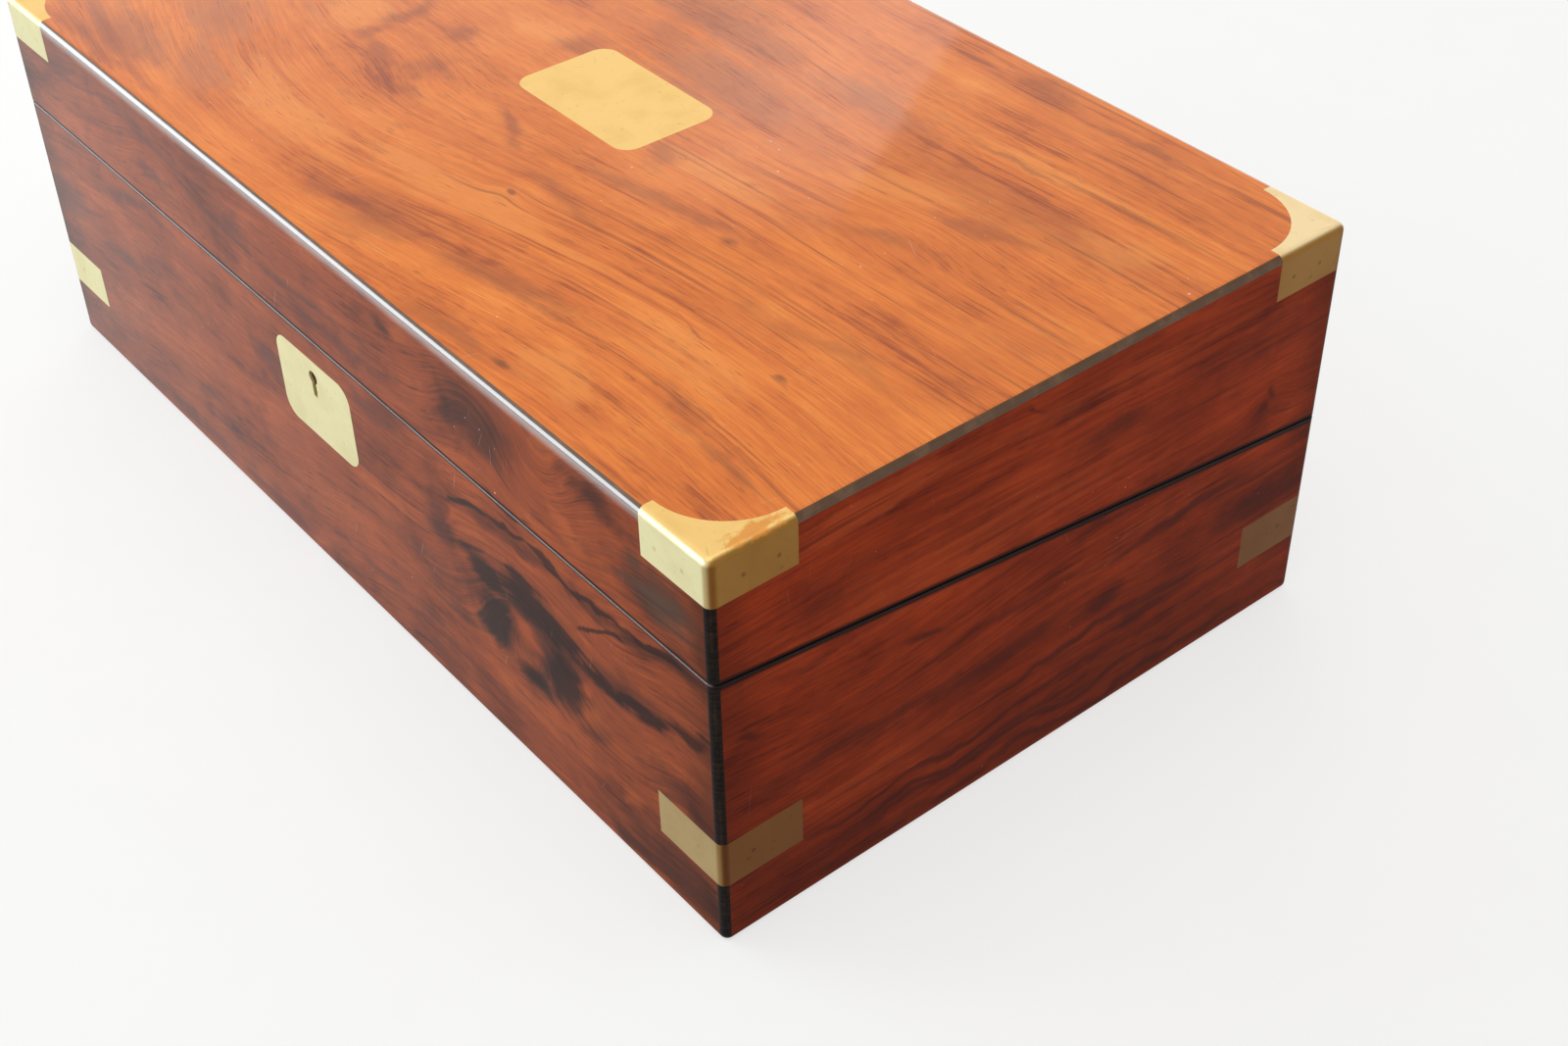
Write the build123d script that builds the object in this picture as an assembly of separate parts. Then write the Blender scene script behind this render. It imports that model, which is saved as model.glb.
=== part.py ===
from build123d import *
import math
import os

# A brass-bound writing slope.  The box is cut in two on a sloping joint, so that the lid folds back
# through half a turn and the two halves lie end to end as one continuous writing surface.
# +X runs to the right along the keyhole side, +Y to the hinges, +Z up.  The origin is the middle of
# the underside.  All sizes are in millimetres.

# ---------------------------------------------------------------- the closed box
box_length = 408.0
box_depth = 240.0
box_height = 142.5
front_joint_height = 100.5
lid_gap = 0.8
vertical_edge_radius = 2.6
top_edge_radius = 2.4
foot_edge_radius = 2.4
rim_edge_radius = 0.5

# ---------------------------------------------------------------- boards and veneer
board_thickness = 10.0
veneer_thickness = 1.0
bottom_thickness = 6.0
top_thickness = 6.0

# ---------------------------------------------------------------- ebony stringing
corner_string_width = 2.8
corner_string_depth = 2.2
edge_string_width = 1.6
edge_string_height = 2.5

# ---------------------------------------------------------------- inlaid brass
brass_thickness = 1.5
cap_arm = 28.8
cap_skirt = 15.7
field_margin = 4.8
field_corner_radius = 24.0
strap_arm = 28.8
strap_height = 16.8
strap_bottom = 23.5
nameplate_length = 62.4
nameplate_width = 38.4
nameplate_corner_radius = 6.2
nameplate_thickness = 0.9
escutcheon_width = 45.4
escutcheon_height = 32.0
escutcheon_corner_radius = 6.2
escutcheon_thickness = 0.9
escutcheon_drop = 8.9
pin_radius = 0.75
pin_length = 7.0
pin_near = 11.0
pin_far = 22.5
cap_pin_drop = 9.4

# ---------------------------------------------------------------- lock
lock_centre_x = -3.8
keyhole_drop = 15.9
keyhole_radius = 2.4
keyhole_slot_width = 2.4
keyhole_height = 9.9
lock_width = 52.0
lock_height = 32.0
lock_depth = 8.0
lock_plate_thickness = 1.0
selvedge_length = 64.0
selvedge_thickness = 1.5
loop_spacing = 26.0
loop_thickness = 2.0
loop_width = 4.0
loop_wire = 1.1
loop_drop = 6.5
loop_front_room = 0.3
loop_side_room = 0.4
loop_swing_room = 1.6
bolt_throw = 5.0
bolt_finger_thickness = 1.0
bolt_finger_height = 1.8
bolt_post_length = 3.0
bolt_bar_height = 2.8
bolt_loop_room = 0.5
bolt_clearance = 0.1
bolt_guide_radius = 1.2
bolt_guide_place = 4.6
key_pin_radius = 1.0
lock_screw_inset = 3.2

# ---------------------------------------------------------------- main hinges
hinge_length = 42.0
hinge_inset = 74.0
hinge_offset = 0.9
hinge_leaf_width = 9.0
hinge_leaf_thickness = 1.4
knuckle_radius = 2.3
hinge_pin_radius = 1.1
running_clearance = 0.05
knuckle_side_gap = 0.15
knuckle_recess = 0.3
screw_head_radius = 1.8
screw_head_height = 1.1
screw_shank_radius = 0.9
screw_length = 8.0
screw_slot_width = 0.5
hinge_screw_spacing = 14.0
hinge_screw_inset = 3.2

# ---------------------------------------------------------------- writing flaps
flap_thickness = 6.8
flap_side_gap = 0.6
flap_end_gap = 0.8
flap_rim_gap = 0.2
flap_overhang = 0.2
leather_thickness = 0.8
leather_border = 16.0
ledge_width = 5.0
ledge_height = 8.0
ledge_gap = 0.1
flap_hinge_length = 30.0
flap_hinge_spacing = 220.0
flap_leaf_thickness = 1.0
flap_leaf_width = 11.0
flap_knuckle_radius = 1.5
flap_pin_radius = 0.7
flap_hinge_room = 0.4

# ---------------------------------------------------------------- pen compartment
pen_space_width = 43.0
partition_thickness = 8.0
partition_lip = 5.0
pen_floor_height = 36.0
pen_floor_thickness = 4.0
ink_space_length = 42.0
ink_divider_thickness = 4.0
tray_height = 14.0
tray_below_rim = 3.5
tray_side_gap = 0.5
tray_rest_width = 8.0
tray_rest_height = 6.0
trough_rim = 2.5
trough_floor = 2.5
nib_well_length = 40.0
nib_well_rib = 4.0
bottle_width = 36.0
bottle_height = 40.0
bottle_wall = 5.0
bottle_edge_radius = 3.0
neck_radius = 9.0
neck_height = 6.0
neck_bore_radius = 6.0
cap_radius = 11.0
cap_wall = 1.8
cap_clearance = 0.2
lift_clearance = 0.1

# ---------------------------------------------------------------- worked out from the sizes above
half_length = box_length / 2
half_depth = box_depth / 2
wall_thickness = board_thickness + veneer_thickness
hinge_height = box_height / 2
joint_angle = math.atan2(front_joint_height - hinge_height, box_depth)
inner_x = half_length - wall_thickness
inner_y = half_depth - wall_thickness
hinge_axis_y = half_depth + hinge_offset

# The joint frame lies on the joint plane: local Y runs down the slope towards the hinges, local Z is
# square to the plane, and its origin is where the plane leaves the back.
joint_frame = Location((0, half_depth, hinge_height), (-math.degrees(joint_angle), 0, 0))


def joint_height(y):
    """Height of the joint plane over a point of the depth."""
    return hinge_height + (half_depth - y) * math.tan(joint_angle)


def along_joint(y, off_plane=0.0):
    """Local Y of a place given by its depth in the box and its height off the joint plane."""
    return (y - half_depth - off_plane * math.sin(joint_angle)) / math.cos(joint_angle)


def block(x0, x1, y0, y1, z0, z1):
    """A square-edged block between two corners."""
    return Pos((x0 + x1) / 2, (y0 + y1) / 2, (z0 + z1) / 2) * Box(x1 - x0, y1 - y0, z1 - z0)


def sloping_block(x0, x1, y0, y1, low, high):
    """Upright sides, with the under side and top parallel to the joint plane at two heights off it."""
    layer = joint_frame * block(-box_length, box_length, -2 * box_depth, box_depth, low, high)
    return block(x0, x1, y0, y1, -box_height, 2 * box_height) & layer


def rod(radius, x0, x1, y, z):
    """A round rod along X."""
    return Pos((x0 + x1) / 2, y, z) * Rot(0, 90, 0) * Cylinder(radius, x1 - x0)


def solids_of(*shapes):
    """The solids of several shapes, as one group."""
    found = []
    for shape in shapes:
        found += shape.solids()
    return Compound(found)


def save(name, *shapes):
    """Write the solids of one node."""
    export_step(solids_of(*shapes), os.path.join("parts", name + ".step"))


def box_half(points, level, edge_radius):
    """One half of the box as a rounded block: its outline from the end, and which level face is round."""
    outline = Plane.YZ * make_face(Polyline(*points, close=True))
    body = extrude(outline, amount=half_length, both=True)
    body = fillet(body.edges().filter_by(Axis.Z), vertical_edge_radius)
    body = fillet(body.faces().sort_by(Axis.Z)[level].edges(), edge_radius)
    square_to_joint = Vector(0, math.sin(joint_angle), math.cos(joint_angle))
    flats = body.faces().filter_by(GeomType.PLANE)
    rim = max(flats, key=lambda face: abs(face.normal_at().dot(square_to_joint)))
    return fillet(rim.edges(), rim_edge_radius)


half_gap_rise = lid_gap / 2 / math.cos(joint_angle)
base_outline = [
    (-half_depth, 0),
    (half_depth, 0),
    (half_depth, joint_height(half_depth) - half_gap_rise),
    (-half_depth, joint_height(-half_depth) - half_gap_rise),
]
lid_outline = [
    (-half_depth, joint_height(-half_depth) + half_gap_rise),
    (half_depth, joint_height(half_depth) + half_gap_rise),
    (half_depth, box_height),
    (-half_depth, box_height),
]
base_envelope = box_half(base_outline, 0, foot_edge_radius)
lid_envelope = box_half(lid_outline, -1, top_edge_radius)

corners = [(side_x, side_y) for side_x in (-1, 1) for side_y in (-1, 1)]


def corner_block(side_x, side_y, arm_x, arm_y, inset, z0, z1):
    """A block in one corner of the box, set in from its two outer faces."""
    xs = sorted((side_x * (half_length - arm_x), side_x * (half_length - inset)))
    ys = sorted((side_y * (half_depth - arm_y), side_y * (half_depth - inset)))
    return block(xs[0], xs[1], ys[0], ys[1], z0, z1)


# ---------------------------------------------------------------- inlaid brass, inside and out
base_straps = []
for side_x, side_y in corners:
    outer = corner_block(side_x, side_y, strap_arm, strap_arm, 0, strap_bottom, strap_bottom + strap_height)
    inner = corner_block(
        side_x, side_y, strap_arm, strap_arm, brass_thickness, strap_bottom, strap_bottom + strap_height
    )
    base_straps.append((outer & base_envelope) - inner)

wood_field = Pos(0, 0, box_height / 2) * extrude(
    RectangleRounded(box_length - 2 * field_margin, box_depth - 2 * field_margin, field_corner_radius),
    amount=box_height,
)
lid_caps = []
for side_x, side_y in corners:
    outer = corner_block(side_x, side_y, cap_arm, cap_arm, 0, box_height - cap_skirt, box_height)
    inner = corner_block(
        side_x, side_y, cap_arm, cap_arm, brass_thickness, box_height - cap_skirt, box_height - brass_thickness
    )
    lid_caps.append((outer & lid_envelope) - inner - wood_field)

nameplate = Pos(0, 0, box_height - nameplate_thickness) * extrude(
    RectangleRounded(nameplate_length, nameplate_width, nameplate_corner_radius), amount=nameplate_thickness
)

front_rim_height = joint_height(-half_depth)
keyhole_z = front_rim_height - keyhole_drop
escutcheon_z = front_rim_height - escutcheon_drop - escutcheon_height / 2
escutcheon_blank = Pos(lock_centre_x, -half_depth + escutcheon_thickness, escutcheon_z) * extrude(
    Plane.XZ * RectangleRounded(escutcheon_width, escutcheon_height, escutcheon_corner_radius),
    amount=escutcheon_thickness,
)
keyhole_slot_drop = keyhole_height - keyhole_radius
keyhole_outline = Circle(keyhole_radius) + Pos(0, -keyhole_slot_drop / 2) * Rectangle(
    keyhole_slot_width, keyhole_slot_drop
)
keyhole = Pos(lock_centre_x, -half_depth + wall_thickness, keyhole_z) * extrude(
    Plane.XZ * keyhole_outline, amount=wall_thickness
)
escutcheon = escutcheon_blank - keyhole


def face_pin(side_x, side_y, reach, z, along_x):
    """A brass pin driven square into the front, back or end, filed flush with the brass."""
    if along_x:
        place = Pos(side_x * (half_length - reach), side_y * (half_depth - pin_length / 2), z)
        return place * Rot(90, 0, 0) * Cylinder(pin_radius, pin_length)
    place = Pos(side_x * (half_length - pin_length / 2), side_y * (half_depth - reach), z)
    return place * Rot(0, 90, 0) * Cylinder(pin_radius, pin_length)


strap_pins = []
cap_pins = []
for side_x, side_y in corners:
    for along_x in (True, False):
        strap_pins.append(face_pin(side_x, side_y, pin_near, strap_bottom + strap_height / 2, along_x))
        for reach in (pin_near, pin_far):
            cap_pins.append(face_pin(side_x, side_y, reach, box_height - cap_pin_drop, along_x))
strap_pins = solids_of(*strap_pins)
cap_pins = solids_of(*cap_pins)
base_straps = solids_of(*base_straps) - strap_pins
lid_caps = solids_of(*lid_caps) - cap_pins

# ---------------------------------------------------------------- ebony stringing
base_strings = []
lid_strings = []
for side_x, side_y in corners:
    column = corner_block(side_x, side_y, corner_string_width, corner_string_depth, 0, 0, box_height)
    base_strings.append((column & base_envelope) - base_straps)
    column = corner_block(
        side_x, side_y, corner_string_width, corner_string_depth, 0, 0, box_height - cap_skirt
    )
    lid_strings.append(column & lid_envelope)
edge_z = box_height - edge_string_height
for side in (-1, 1):
    ys = sorted((side * half_depth, side * (half_depth - edge_string_width)))
    along = block(cap_arm - half_length, half_length - cap_arm, ys[0], ys[1], edge_z, box_height)
    lid_strings.append(along & lid_envelope)
    xs = sorted((side * half_length, side * (half_length - edge_string_width)))
    across = block(xs[0], xs[1], cap_arm - half_depth, half_depth - cap_arm, edge_z, box_height)
    lid_strings.append(across & lid_envelope)
base_strings = solids_of(*base_strings)
lid_strings = solids_of(*lid_strings)


# ---------------------------------------------------------------- screws and hinges
def screw_blank():
    """A countersunk wood screw with its head's face at the origin, pointing down."""
    outline = Polyline(
        (0, 0),
        (screw_head_radius, 0),
        (screw_shank_radius, -screw_head_height),
        (screw_shank_radius, -screw_length + 2 * screw_shank_radius),
        (0, -screw_length),
        close=True,
    )
    return revolve(Plane.XZ * make_face(outline), Axis.Z)


def rim_screw(x, y, side):
    """A screw in a rim, whole and slotted: side is -1 in the base and +1 in the lid."""
    turn = Rot(180, 0, 0) if side > 0 else Rot(0, 0, 0)
    place = joint_frame * Pos(x, along_joint(y), side * lid_gap / 2) * turn
    whole = place * screw_blank()
    slot_depth = screw_head_height / 2
    slot = place * Pos(0, 0, -slot_depth / 2) * Box(2 * screw_head_radius, screw_slot_width, slot_depth)
    return whole, whole - slot


hinge_places = [side * (half_length - hinge_inset) for side in (-1, 1)]


def leaf_plate(x, side):
    """The flat of one main hinge leaf, let into a rim: side is -1 in the base and +1 in the lid."""
    low, high = sorted((side * lid_gap / 2, side * (lid_gap / 2 + hinge_leaf_thickness)))
    return sloping_block(
        x - hinge_length / 2, x + hinge_length / 2, half_depth - hinge_leaf_width, hinge_axis_y, low, high
    )


def knuckle_room(x):
    """The round space that the knuckles of one main hinge need in both rims."""
    reach = hinge_length / 2 + knuckle_side_gap
    return rod(knuckle_radius + knuckle_recess, x - reach, x + reach, hinge_axis_y, hinge_height)


def hinge_leaf(x, side):
    """One main hinge leaf: the base's has the two outer knuckles and the lid's the middle one."""
    plate = leaf_plate(x, side)
    whole = plate + rod(
        knuckle_radius, x - hinge_length / 2, x + hinge_length / 2, hinge_axis_y, hinge_height
    )
    middle = Pos(x, hinge_axis_y, hinge_height)
    third = hinge_length / 3
    if side > 0:
        knuckles = whole & (middle * Box(third, box_depth, box_height))
    else:
        knuckles = whole - middle * Box(third + 2 * knuckle_side_gap, box_depth, box_height)
    bore = rod(
        hinge_pin_radius + running_clearance, x - hinge_length, x + hinge_length, hinge_axis_y, hinge_height
    )
    return (plate - knuckle_room(x)) + knuckles - bore


base_hinge_leaves = [hinge_leaf(x, -1) for x in hinge_places]
lid_hinge_leaves = [hinge_leaf(x, 1) for x in hinge_places]
hinge_pins = [
    rod(hinge_pin_radius, x - hinge_length / 2, x + hinge_length / 2, hinge_axis_y, hinge_height)
    for x in hinge_places
]
knuckle_rooms = [knuckle_room(x) for x in hinge_places]

# ---------------------------------------------------------------- lock
lock_front = -inner_y - lock_depth
lock_back = -inner_y
case_half = lock_width / 2
case_bottom = front_rim_height - lock_height
works_top = joint_height(lock_back) - half_gap_rise - selvedge_thickness
loop_front = lock_front + lock_plate_thickness + loop_front_room
loop_back = loop_front + loop_width
loop_bottom = works_top - loop_drop
loop_places = [lock_centre_x + side * loop_spacing / 2 for side in (-1, 1)]

case_block = block(
    lock_centre_x - case_half, lock_centre_x + case_half, lock_front, lock_back, case_bottom, box_height
) & base_envelope
selvedge_half = selvedge_length / 2
selvedge = sloping_block(
    lock_centre_x - selvedge_half,
    lock_centre_x + selvedge_half,
    lock_front,
    lock_back,
    -lid_gap / 2 - selvedge_thickness,
    -lid_gap / 2,
)
works_half = case_half - lock_plate_thickness
works_space = block(
    lock_centre_x - works_half,
    lock_centre_x + works_half,
    lock_front,
    lock_back - lock_plate_thickness,
    case_bottom + lock_plate_thickness,
    works_top,
)
lock_outside = case_block + selvedge
lock_case = lock_outside - works_space
for x in loop_places:
    lock_case -= block(
        x - loop_thickness / 2 - loop_side_room,
        x + loop_thickness / 2 + loop_side_room,
        loop_front - loop_side_room / 2,
        loop_back + loop_swing_room,
        works_top,
        box_height,
    )

bar_top = loop_bottom - bolt_loop_room
bar_bottom = bar_top - bolt_bar_height
eye_centre_y = (loop_front + loop_back) / 2
eye_centre_z = loop_bottom + (loop_drop - selvedge_thickness + loop_wire) / 2


def lock_stud(x, z, radius):
    """A round stud standing off the back plate of the lock."""
    length = lock_back - lock_front - 2 * lock_plate_thickness - bolt_clearance
    middle = lock_back - lock_plate_thickness - length / 2
    return Pos(x, middle, z) * Rot(90, 0, 0) * Cylinder(radius, length)


for x in (loop_places[0], lock_centre_x + bolt_guide_place):
    lock_case += lock_stud(x, bar_bottom - bolt_clearance - bolt_guide_radius, bolt_guide_radius)
lock_case += lock_stud(lock_centre_x, keyhole_z, key_pin_radius)

lock_cap = block(
    lock_centre_x - works_half,
    lock_centre_x + works_half,
    lock_front,
    lock_front + lock_plate_thickness,
    case_bottom + lock_plate_thickness,
    works_top,
) - keyhole

finger_ends = [x - loop_thickness / 2 - bolt_loop_room for x in loop_places]
bolt = block(
    finger_ends[0] - bolt_throw - bolt_post_length,
    finger_ends[1] - bolt_throw,
    lock_front + lock_plate_thickness + bolt_clearance,
    lock_back - lock_plate_thickness - bolt_clearance,
    bar_bottom,
    bar_top,
)
for end in finger_ends:
    finger_y = (eye_centre_y - bolt_finger_thickness / 2, eye_centre_y + bolt_finger_thickness / 2)
    finger_z = (eye_centre_z - bolt_finger_height / 2, eye_centre_z + bolt_finger_height / 2)
    bolt += block(end - bolt_throw - bolt_post_length, end - bolt_throw, *finger_y, bar_top, finger_z[1])
    bolt += block(end - bolt_throw, end, *finger_y, *finger_z)

link_plate_top = lid_gap / 2 + selvedge_thickness
link_plate_blank = sloping_block(
    lock_centre_x - selvedge_half,
    lock_centre_x + selvedge_half,
    lock_front,
    lock_back,
    lid_gap / 2,
    link_plate_top,
)


def link_loop(x):
    """A loop on the link plate: a U with its two legs riveted through the plate."""
    ends = (x - loop_thickness / 2, x + loop_thickness / 2)
    whole = sloping_block(*ends, loop_front, loop_back, -box_height, link_plate_top)
    below = block(*ends, loop_front, loop_back, -box_height, loop_bottom)
    eye = block(
        *ends, loop_front + loop_wire, loop_back - loop_wire, loop_bottom + loop_wire, box_height
    )
    return whole - below - eye


link_loops = solids_of(*[link_loop(x) for x in loop_places])

# ---------------------------------------------------------------- screws in the rims
hinge_screw_y = half_depth - hinge_leaf_width + hinge_screw_inset
hinge_screw_places = [
    (x + step * hinge_screw_spacing, hinge_screw_y) for x in hinge_places for step in (-1, 0, 1)
]
lock_screw_places = [
    (lock_centre_x + side * (selvedge_half - lock_screw_inset), (lock_front + lock_back) / 2)
    for side in (-1, 1)
]
rim_screw_places = hinge_screw_places + lock_screw_places
base_screws = [rim_screw(x, y, -1) for x, y in rim_screw_places]
lid_screws = [rim_screw(x, y, 1) for x, y in rim_screw_places]
base_screw_holes = solids_of(*[whole for whole, slotted in base_screws])
lid_screw_holes = solids_of(*[whole for whole, slotted in lid_screws])

# ---------------------------------------------------------------- writing flaps
flap_top = lid_gap / 2 + flap_rim_gap
flap_back = flap_top + flap_thickness
flap_half_length = inner_x - flap_side_gap
flap_axis_y = inner_y - flap_hinge_room - flap_knuckle_radius
flap_rear = flap_axis_y + flap_overhang
flap_axis_off = flap_top + flap_knuckle_radius
pen_back = -inner_y + pen_space_width
flap_hinge_places = [side * flap_hinge_spacing / 2 for side in (-1, 1)]


def flap_axis_height(side):
    """Height of a flap's hinge axis: side is -1 in the base and +1 in the lid."""
    return joint_height(flap_axis_y) + side * flap_axis_off / math.cos(joint_angle)


def flap_leather(front, side):
    """The writing leather, let into the face of the flap inside a plain wooden border."""
    low, high = sorted((side * flap_top, side * (flap_top + leather_thickness)))
    half = flap_half_length - leather_border
    return sloping_block(-half, half, front + leather_border, flap_rear - leather_border, low, high)


def flap_leaf_plate(x, side):
    """The flat of a flap hinge leaf, let into the face of the flap."""
    low, high = sorted((side * flap_top, side * (flap_top + flap_leaf_thickness)))
    half = flap_hinge_length / 2
    return sloping_block(x - half, x + half, flap_axis_y - flap_leaf_width, flap_axis_y, low, high)


def wall_leaf_plate(x, side):
    """The leaf of a flap hinge that is let into the inside of the back wall, with its web."""
    half = flap_hinge_length / 2
    axis = flap_axis_height(side)
    near = axis + side * (flap_knuckle_radius - flap_leaf_thickness)
    web = sorted((near, near + side * flap_leaf_thickness))
    tail = sorted((near, near + side * flap_leaf_width))
    plate = block(x - half, x + half, inner_y, inner_y + flap_leaf_thickness, *tail)
    return plate + block(x - half, x + half, flap_axis_y, inner_y + flap_leaf_thickness, *web)


def flap_knuckle_rod(x, side, radius, extra):
    """A round bar on a flap's hinge axis, past the hinge by a little at each end."""
    half = flap_hinge_length / 2 + extra
    return rod(radius, x - half, x + half, flap_axis_y, flap_axis_height(side))


def flap_hinge(x, side):
    """One flap hinge: the leaf on the flap, the leaf on the wall, and the pin."""
    barrel = flap_knuckle_rod(x, side, flap_knuckle_radius, 0)
    room = flap_knuckle_rod(x, side, flap_knuckle_radius + knuckle_recess, knuckle_side_gap)
    bore = flap_knuckle_rod(x, side, flap_pin_radius + running_clearance, knuckle_side_gap)
    third = flap_hinge_length / 3
    middle = Pos(x, flap_axis_y, flap_axis_height(side))
    inside = middle * Box(third, box_depth, box_depth)
    outside = middle * Box(third + 2 * knuckle_side_gap, box_depth, box_depth)
    flap_plate = flap_leaf_plate(x, side)
    wall_plate = wall_leaf_plate(x, side)
    flap_leaf = (flap_plate - room) + ((flap_plate + barrel) & inside) - bore
    wall_leaf = (wall_plate - room) + ((wall_plate + barrel) - outside) - bore
    pin = flap_knuckle_rod(x, side, flap_pin_radius, 0)
    return flap_leaf, wall_leaf, pin


def flap_board(blank, front, side):
    """The board of a flap, with its leather and hinge leaves let in."""
    board = blank - flap_leather(front, side)
    for x in flap_hinge_places:
        board -= flap_leaf_plate(x, side)
        board -= flap_knuckle_rod(x, side, flap_knuckle_radius + knuckle_recess, knuckle_side_gap)
    return board


base_flap_front = pen_back + partition_lip + flap_end_gap
base_flap_blank = sloping_block(
    -flap_half_length, flap_half_length, base_flap_front, flap_rear, -flap_back, -flap_top
)
base_flap_board = flap_board(base_flap_blank, base_flap_front, -1)
base_flap_leather = flap_leather(base_flap_front, -1)
base_flap_hinges = [flap_hinge(x, -1) for x in flap_hinge_places]

lid_flap_front = -inner_y + flap_end_gap
lid_flap_blank = joint_frame * block(
    -flap_half_length,
    flap_half_length,
    along_joint(lid_flap_front, flap_top),
    along_joint(flap_rear, flap_back),
    flap_top,
    flap_back,
)
lid_flap_board = flap_board(lid_flap_blank, lid_flap_front, 1)
lid_flap_leather = flap_leather(lid_flap_front, 1)
lid_flap_hinges = [flap_hinge(x, 1) for x in flap_hinge_places]

ledge_off = flap_back + ledge_gap
base_ledges = []
lid_ledges = []
for side in (-1, 1):
    xs = sorted((side * inner_x, side * (inner_x - ledge_width)))
    base_ledges.append(
        sloping_block(*xs, pen_back + partition_thickness, inner_y, -ledge_off - ledge_height, -ledge_off)
    )
    lid_ledges.append(sloping_block(*xs, -inner_y, inner_y, ledge_off, ledge_off + ledge_height))
lid_ledges.append(
    sloping_block(
        ledge_width - inner_x,
        inner_x - ledge_width,
        -inner_y,
        ledge_width - inner_y,
        ledge_off,
        ledge_off + ledge_height,
    )
)

# ---------------------------------------------------------------- pen compartment
pen_floor_top = pen_floor_height + pen_floor_thickness
pen_floor = block(-inner_x, inner_x, -inner_y, pen_back, pen_floor_height, pen_floor_top)
partition_back = pen_back + partition_thickness
partition = block(-inner_x, inner_x, pen_back, partition_back, bottom_thickness, box_height) & base_envelope
partition -= sloping_block(
    -inner_x, inner_x, pen_back + partition_lip, partition_back, -ledge_off, box_height
)

tray_top = joint_height(pen_back) - half_gap_rise - tray_below_rim
tray_bottom = tray_top - tray_height
tray_rest_top = tray_bottom - lift_clearance
ink_inner = inner_x - ink_space_length
tray_space_half = ink_inner - ink_divider_thickness
ink_dividers = {}
tray_rests = []
for name, side in (("left", -1), ("right", 1)):
    xs = sorted((side * ink_inner, side * tray_space_half))
    ink_dividers[name] = block(*xs, -inner_y, pen_back, pen_floor_top, tray_top)
    xs = sorted((side * tray_space_half, side * (tray_space_half - tray_rest_width)))
    tray_rests.append(block(*xs, -inner_y, pen_back, tray_rest_top - tray_rest_height, tray_rest_top))

tray_half_length = tray_space_half - tray_side_gap
tray_front = -inner_y + tray_side_gap
tray_back = pen_back - tray_side_gap
tray_middle_y = (tray_front + tray_back) / 2
trough_depth = tray_height - trough_floor
trough_half_width = (tray_back - tray_front) / 2 - trough_rim
trough_radius = (trough_half_width**2 + trough_depth**2) / (2 * trough_depth)
nib_well_inner = tray_half_length - trough_rim - nib_well_length
pen_tray = block(-tray_half_length, tray_half_length, tray_front, tray_back, tray_bottom, tray_top)
pen_tray -= rod(
    trough_radius,
    trough_rim - tray_half_length,
    nib_well_inner - nib_well_rib,
    tray_middle_y,
    tray_bottom + trough_floor + trough_radius,
)
pen_tray -= block(
    nib_well_inner,
    tray_half_length - trough_rim,
    tray_front + trough_rim,
    tray_back - trough_rim,
    tray_bottom + trough_floor,
    tray_top,
)

bottle_foot = pen_floor_top + lift_clearance
bottle_shoulder = bottle_foot + bottle_height
neck_top = bottle_shoulder + neck_height
cap_foot = bottle_shoulder + cap_clearance
cap_top = neck_top + cap_clearance + cap_wall
ink_bottles = {}
ink_caps = {}
for name, side in (("left", -1), ("right", 1)):
    place = Pos(side * (inner_x - ink_space_length / 2), (pen_back - inner_y) / 2, 0)
    glass = Pos(0, 0, bottle_foot + bottle_height / 2) * Box(bottle_width, bottle_width, bottle_height)
    glass = fillet(glass.edges().filter_by(Axis.Z), bottle_edge_radius)
    glass += Pos(0, 0, bottle_shoulder + neck_height / 2) * Cylinder(neck_radius, neck_height)
    ink_room = bottle_width - 2 * bottle_wall
    ink_height = bottle_height - 2 * bottle_wall
    glass -= Pos(0, 0, bottle_foot + bottle_height / 2) * Box(ink_room, ink_room, ink_height)
    neck_length = neck_top - bottle_shoulder + bottle_wall
    glass -= Pos(0, 0, neck_top - neck_length / 2) * Cylinder(neck_bore_radius, neck_length)
    ink_bottles[name] = place * glass
    cap = Pos(0, 0, (cap_foot + cap_top) / 2) * Cylinder(cap_radius, cap_top - cap_foot)
    cap = chamfer(cap.edges().sort_by(Axis.Z)[-1], cap_wall / 2)
    bore_height = cap_top - cap_wall - cap_foot
    cap -= Pos(0, 0, cap_foot + bore_height / 2) * Cylinder(neck_radius + cap_clearance, bore_height)
    ink_caps[name] = place * cap

# ---------------------------------------------------------------- base boards and veneers
base_let_in = solids_of(base_straps, strap_pins, base_strings)
front_hardware = solids_of(lock_outside, base_screw_holes, keyhole, escutcheon_blank)
back_hardware = solids_of(
    *knuckle_rooms,
    *[leaf_plate(x, -1) for x in hinge_places],
    *[wall_leaf_plate(x, -1) for x in flap_hinge_places],
    base_screw_holes,
)


def wall_board(side, envelope, top):
    """The front (side -1) or back (side 1) board of one half, from end to end."""
    ys = sorted((side * inner_y, side * (half_depth - veneer_thickness)))
    reach = half_length - veneer_thickness
    return block(-reach, reach, *ys, 0, top) & envelope


def end_board(side, envelope, top):
    """The left (side -1) or right (side 1) board of one half, between the front and back."""
    xs = sorted((side * inner_x, side * (half_length - veneer_thickness)))
    return block(*xs, -inner_y, inner_y, 0, top) & envelope


def wall_veneer(side, envelope):
    """The veneer on the front (side -1) or back (side 1) of one half."""
    ys = sorted((side * half_depth, side * (half_depth - veneer_thickness)))
    return block(-half_length, half_length, *ys, 0, box_height) & envelope


def end_veneer(side, envelope):
    """The veneer on the left (side -1) or right (side 1) of one half."""
    xs = sorted((side * half_length, side * (half_length - veneer_thickness)))
    return block(*xs, -half_depth, half_depth, 0, box_height) & envelope


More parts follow.
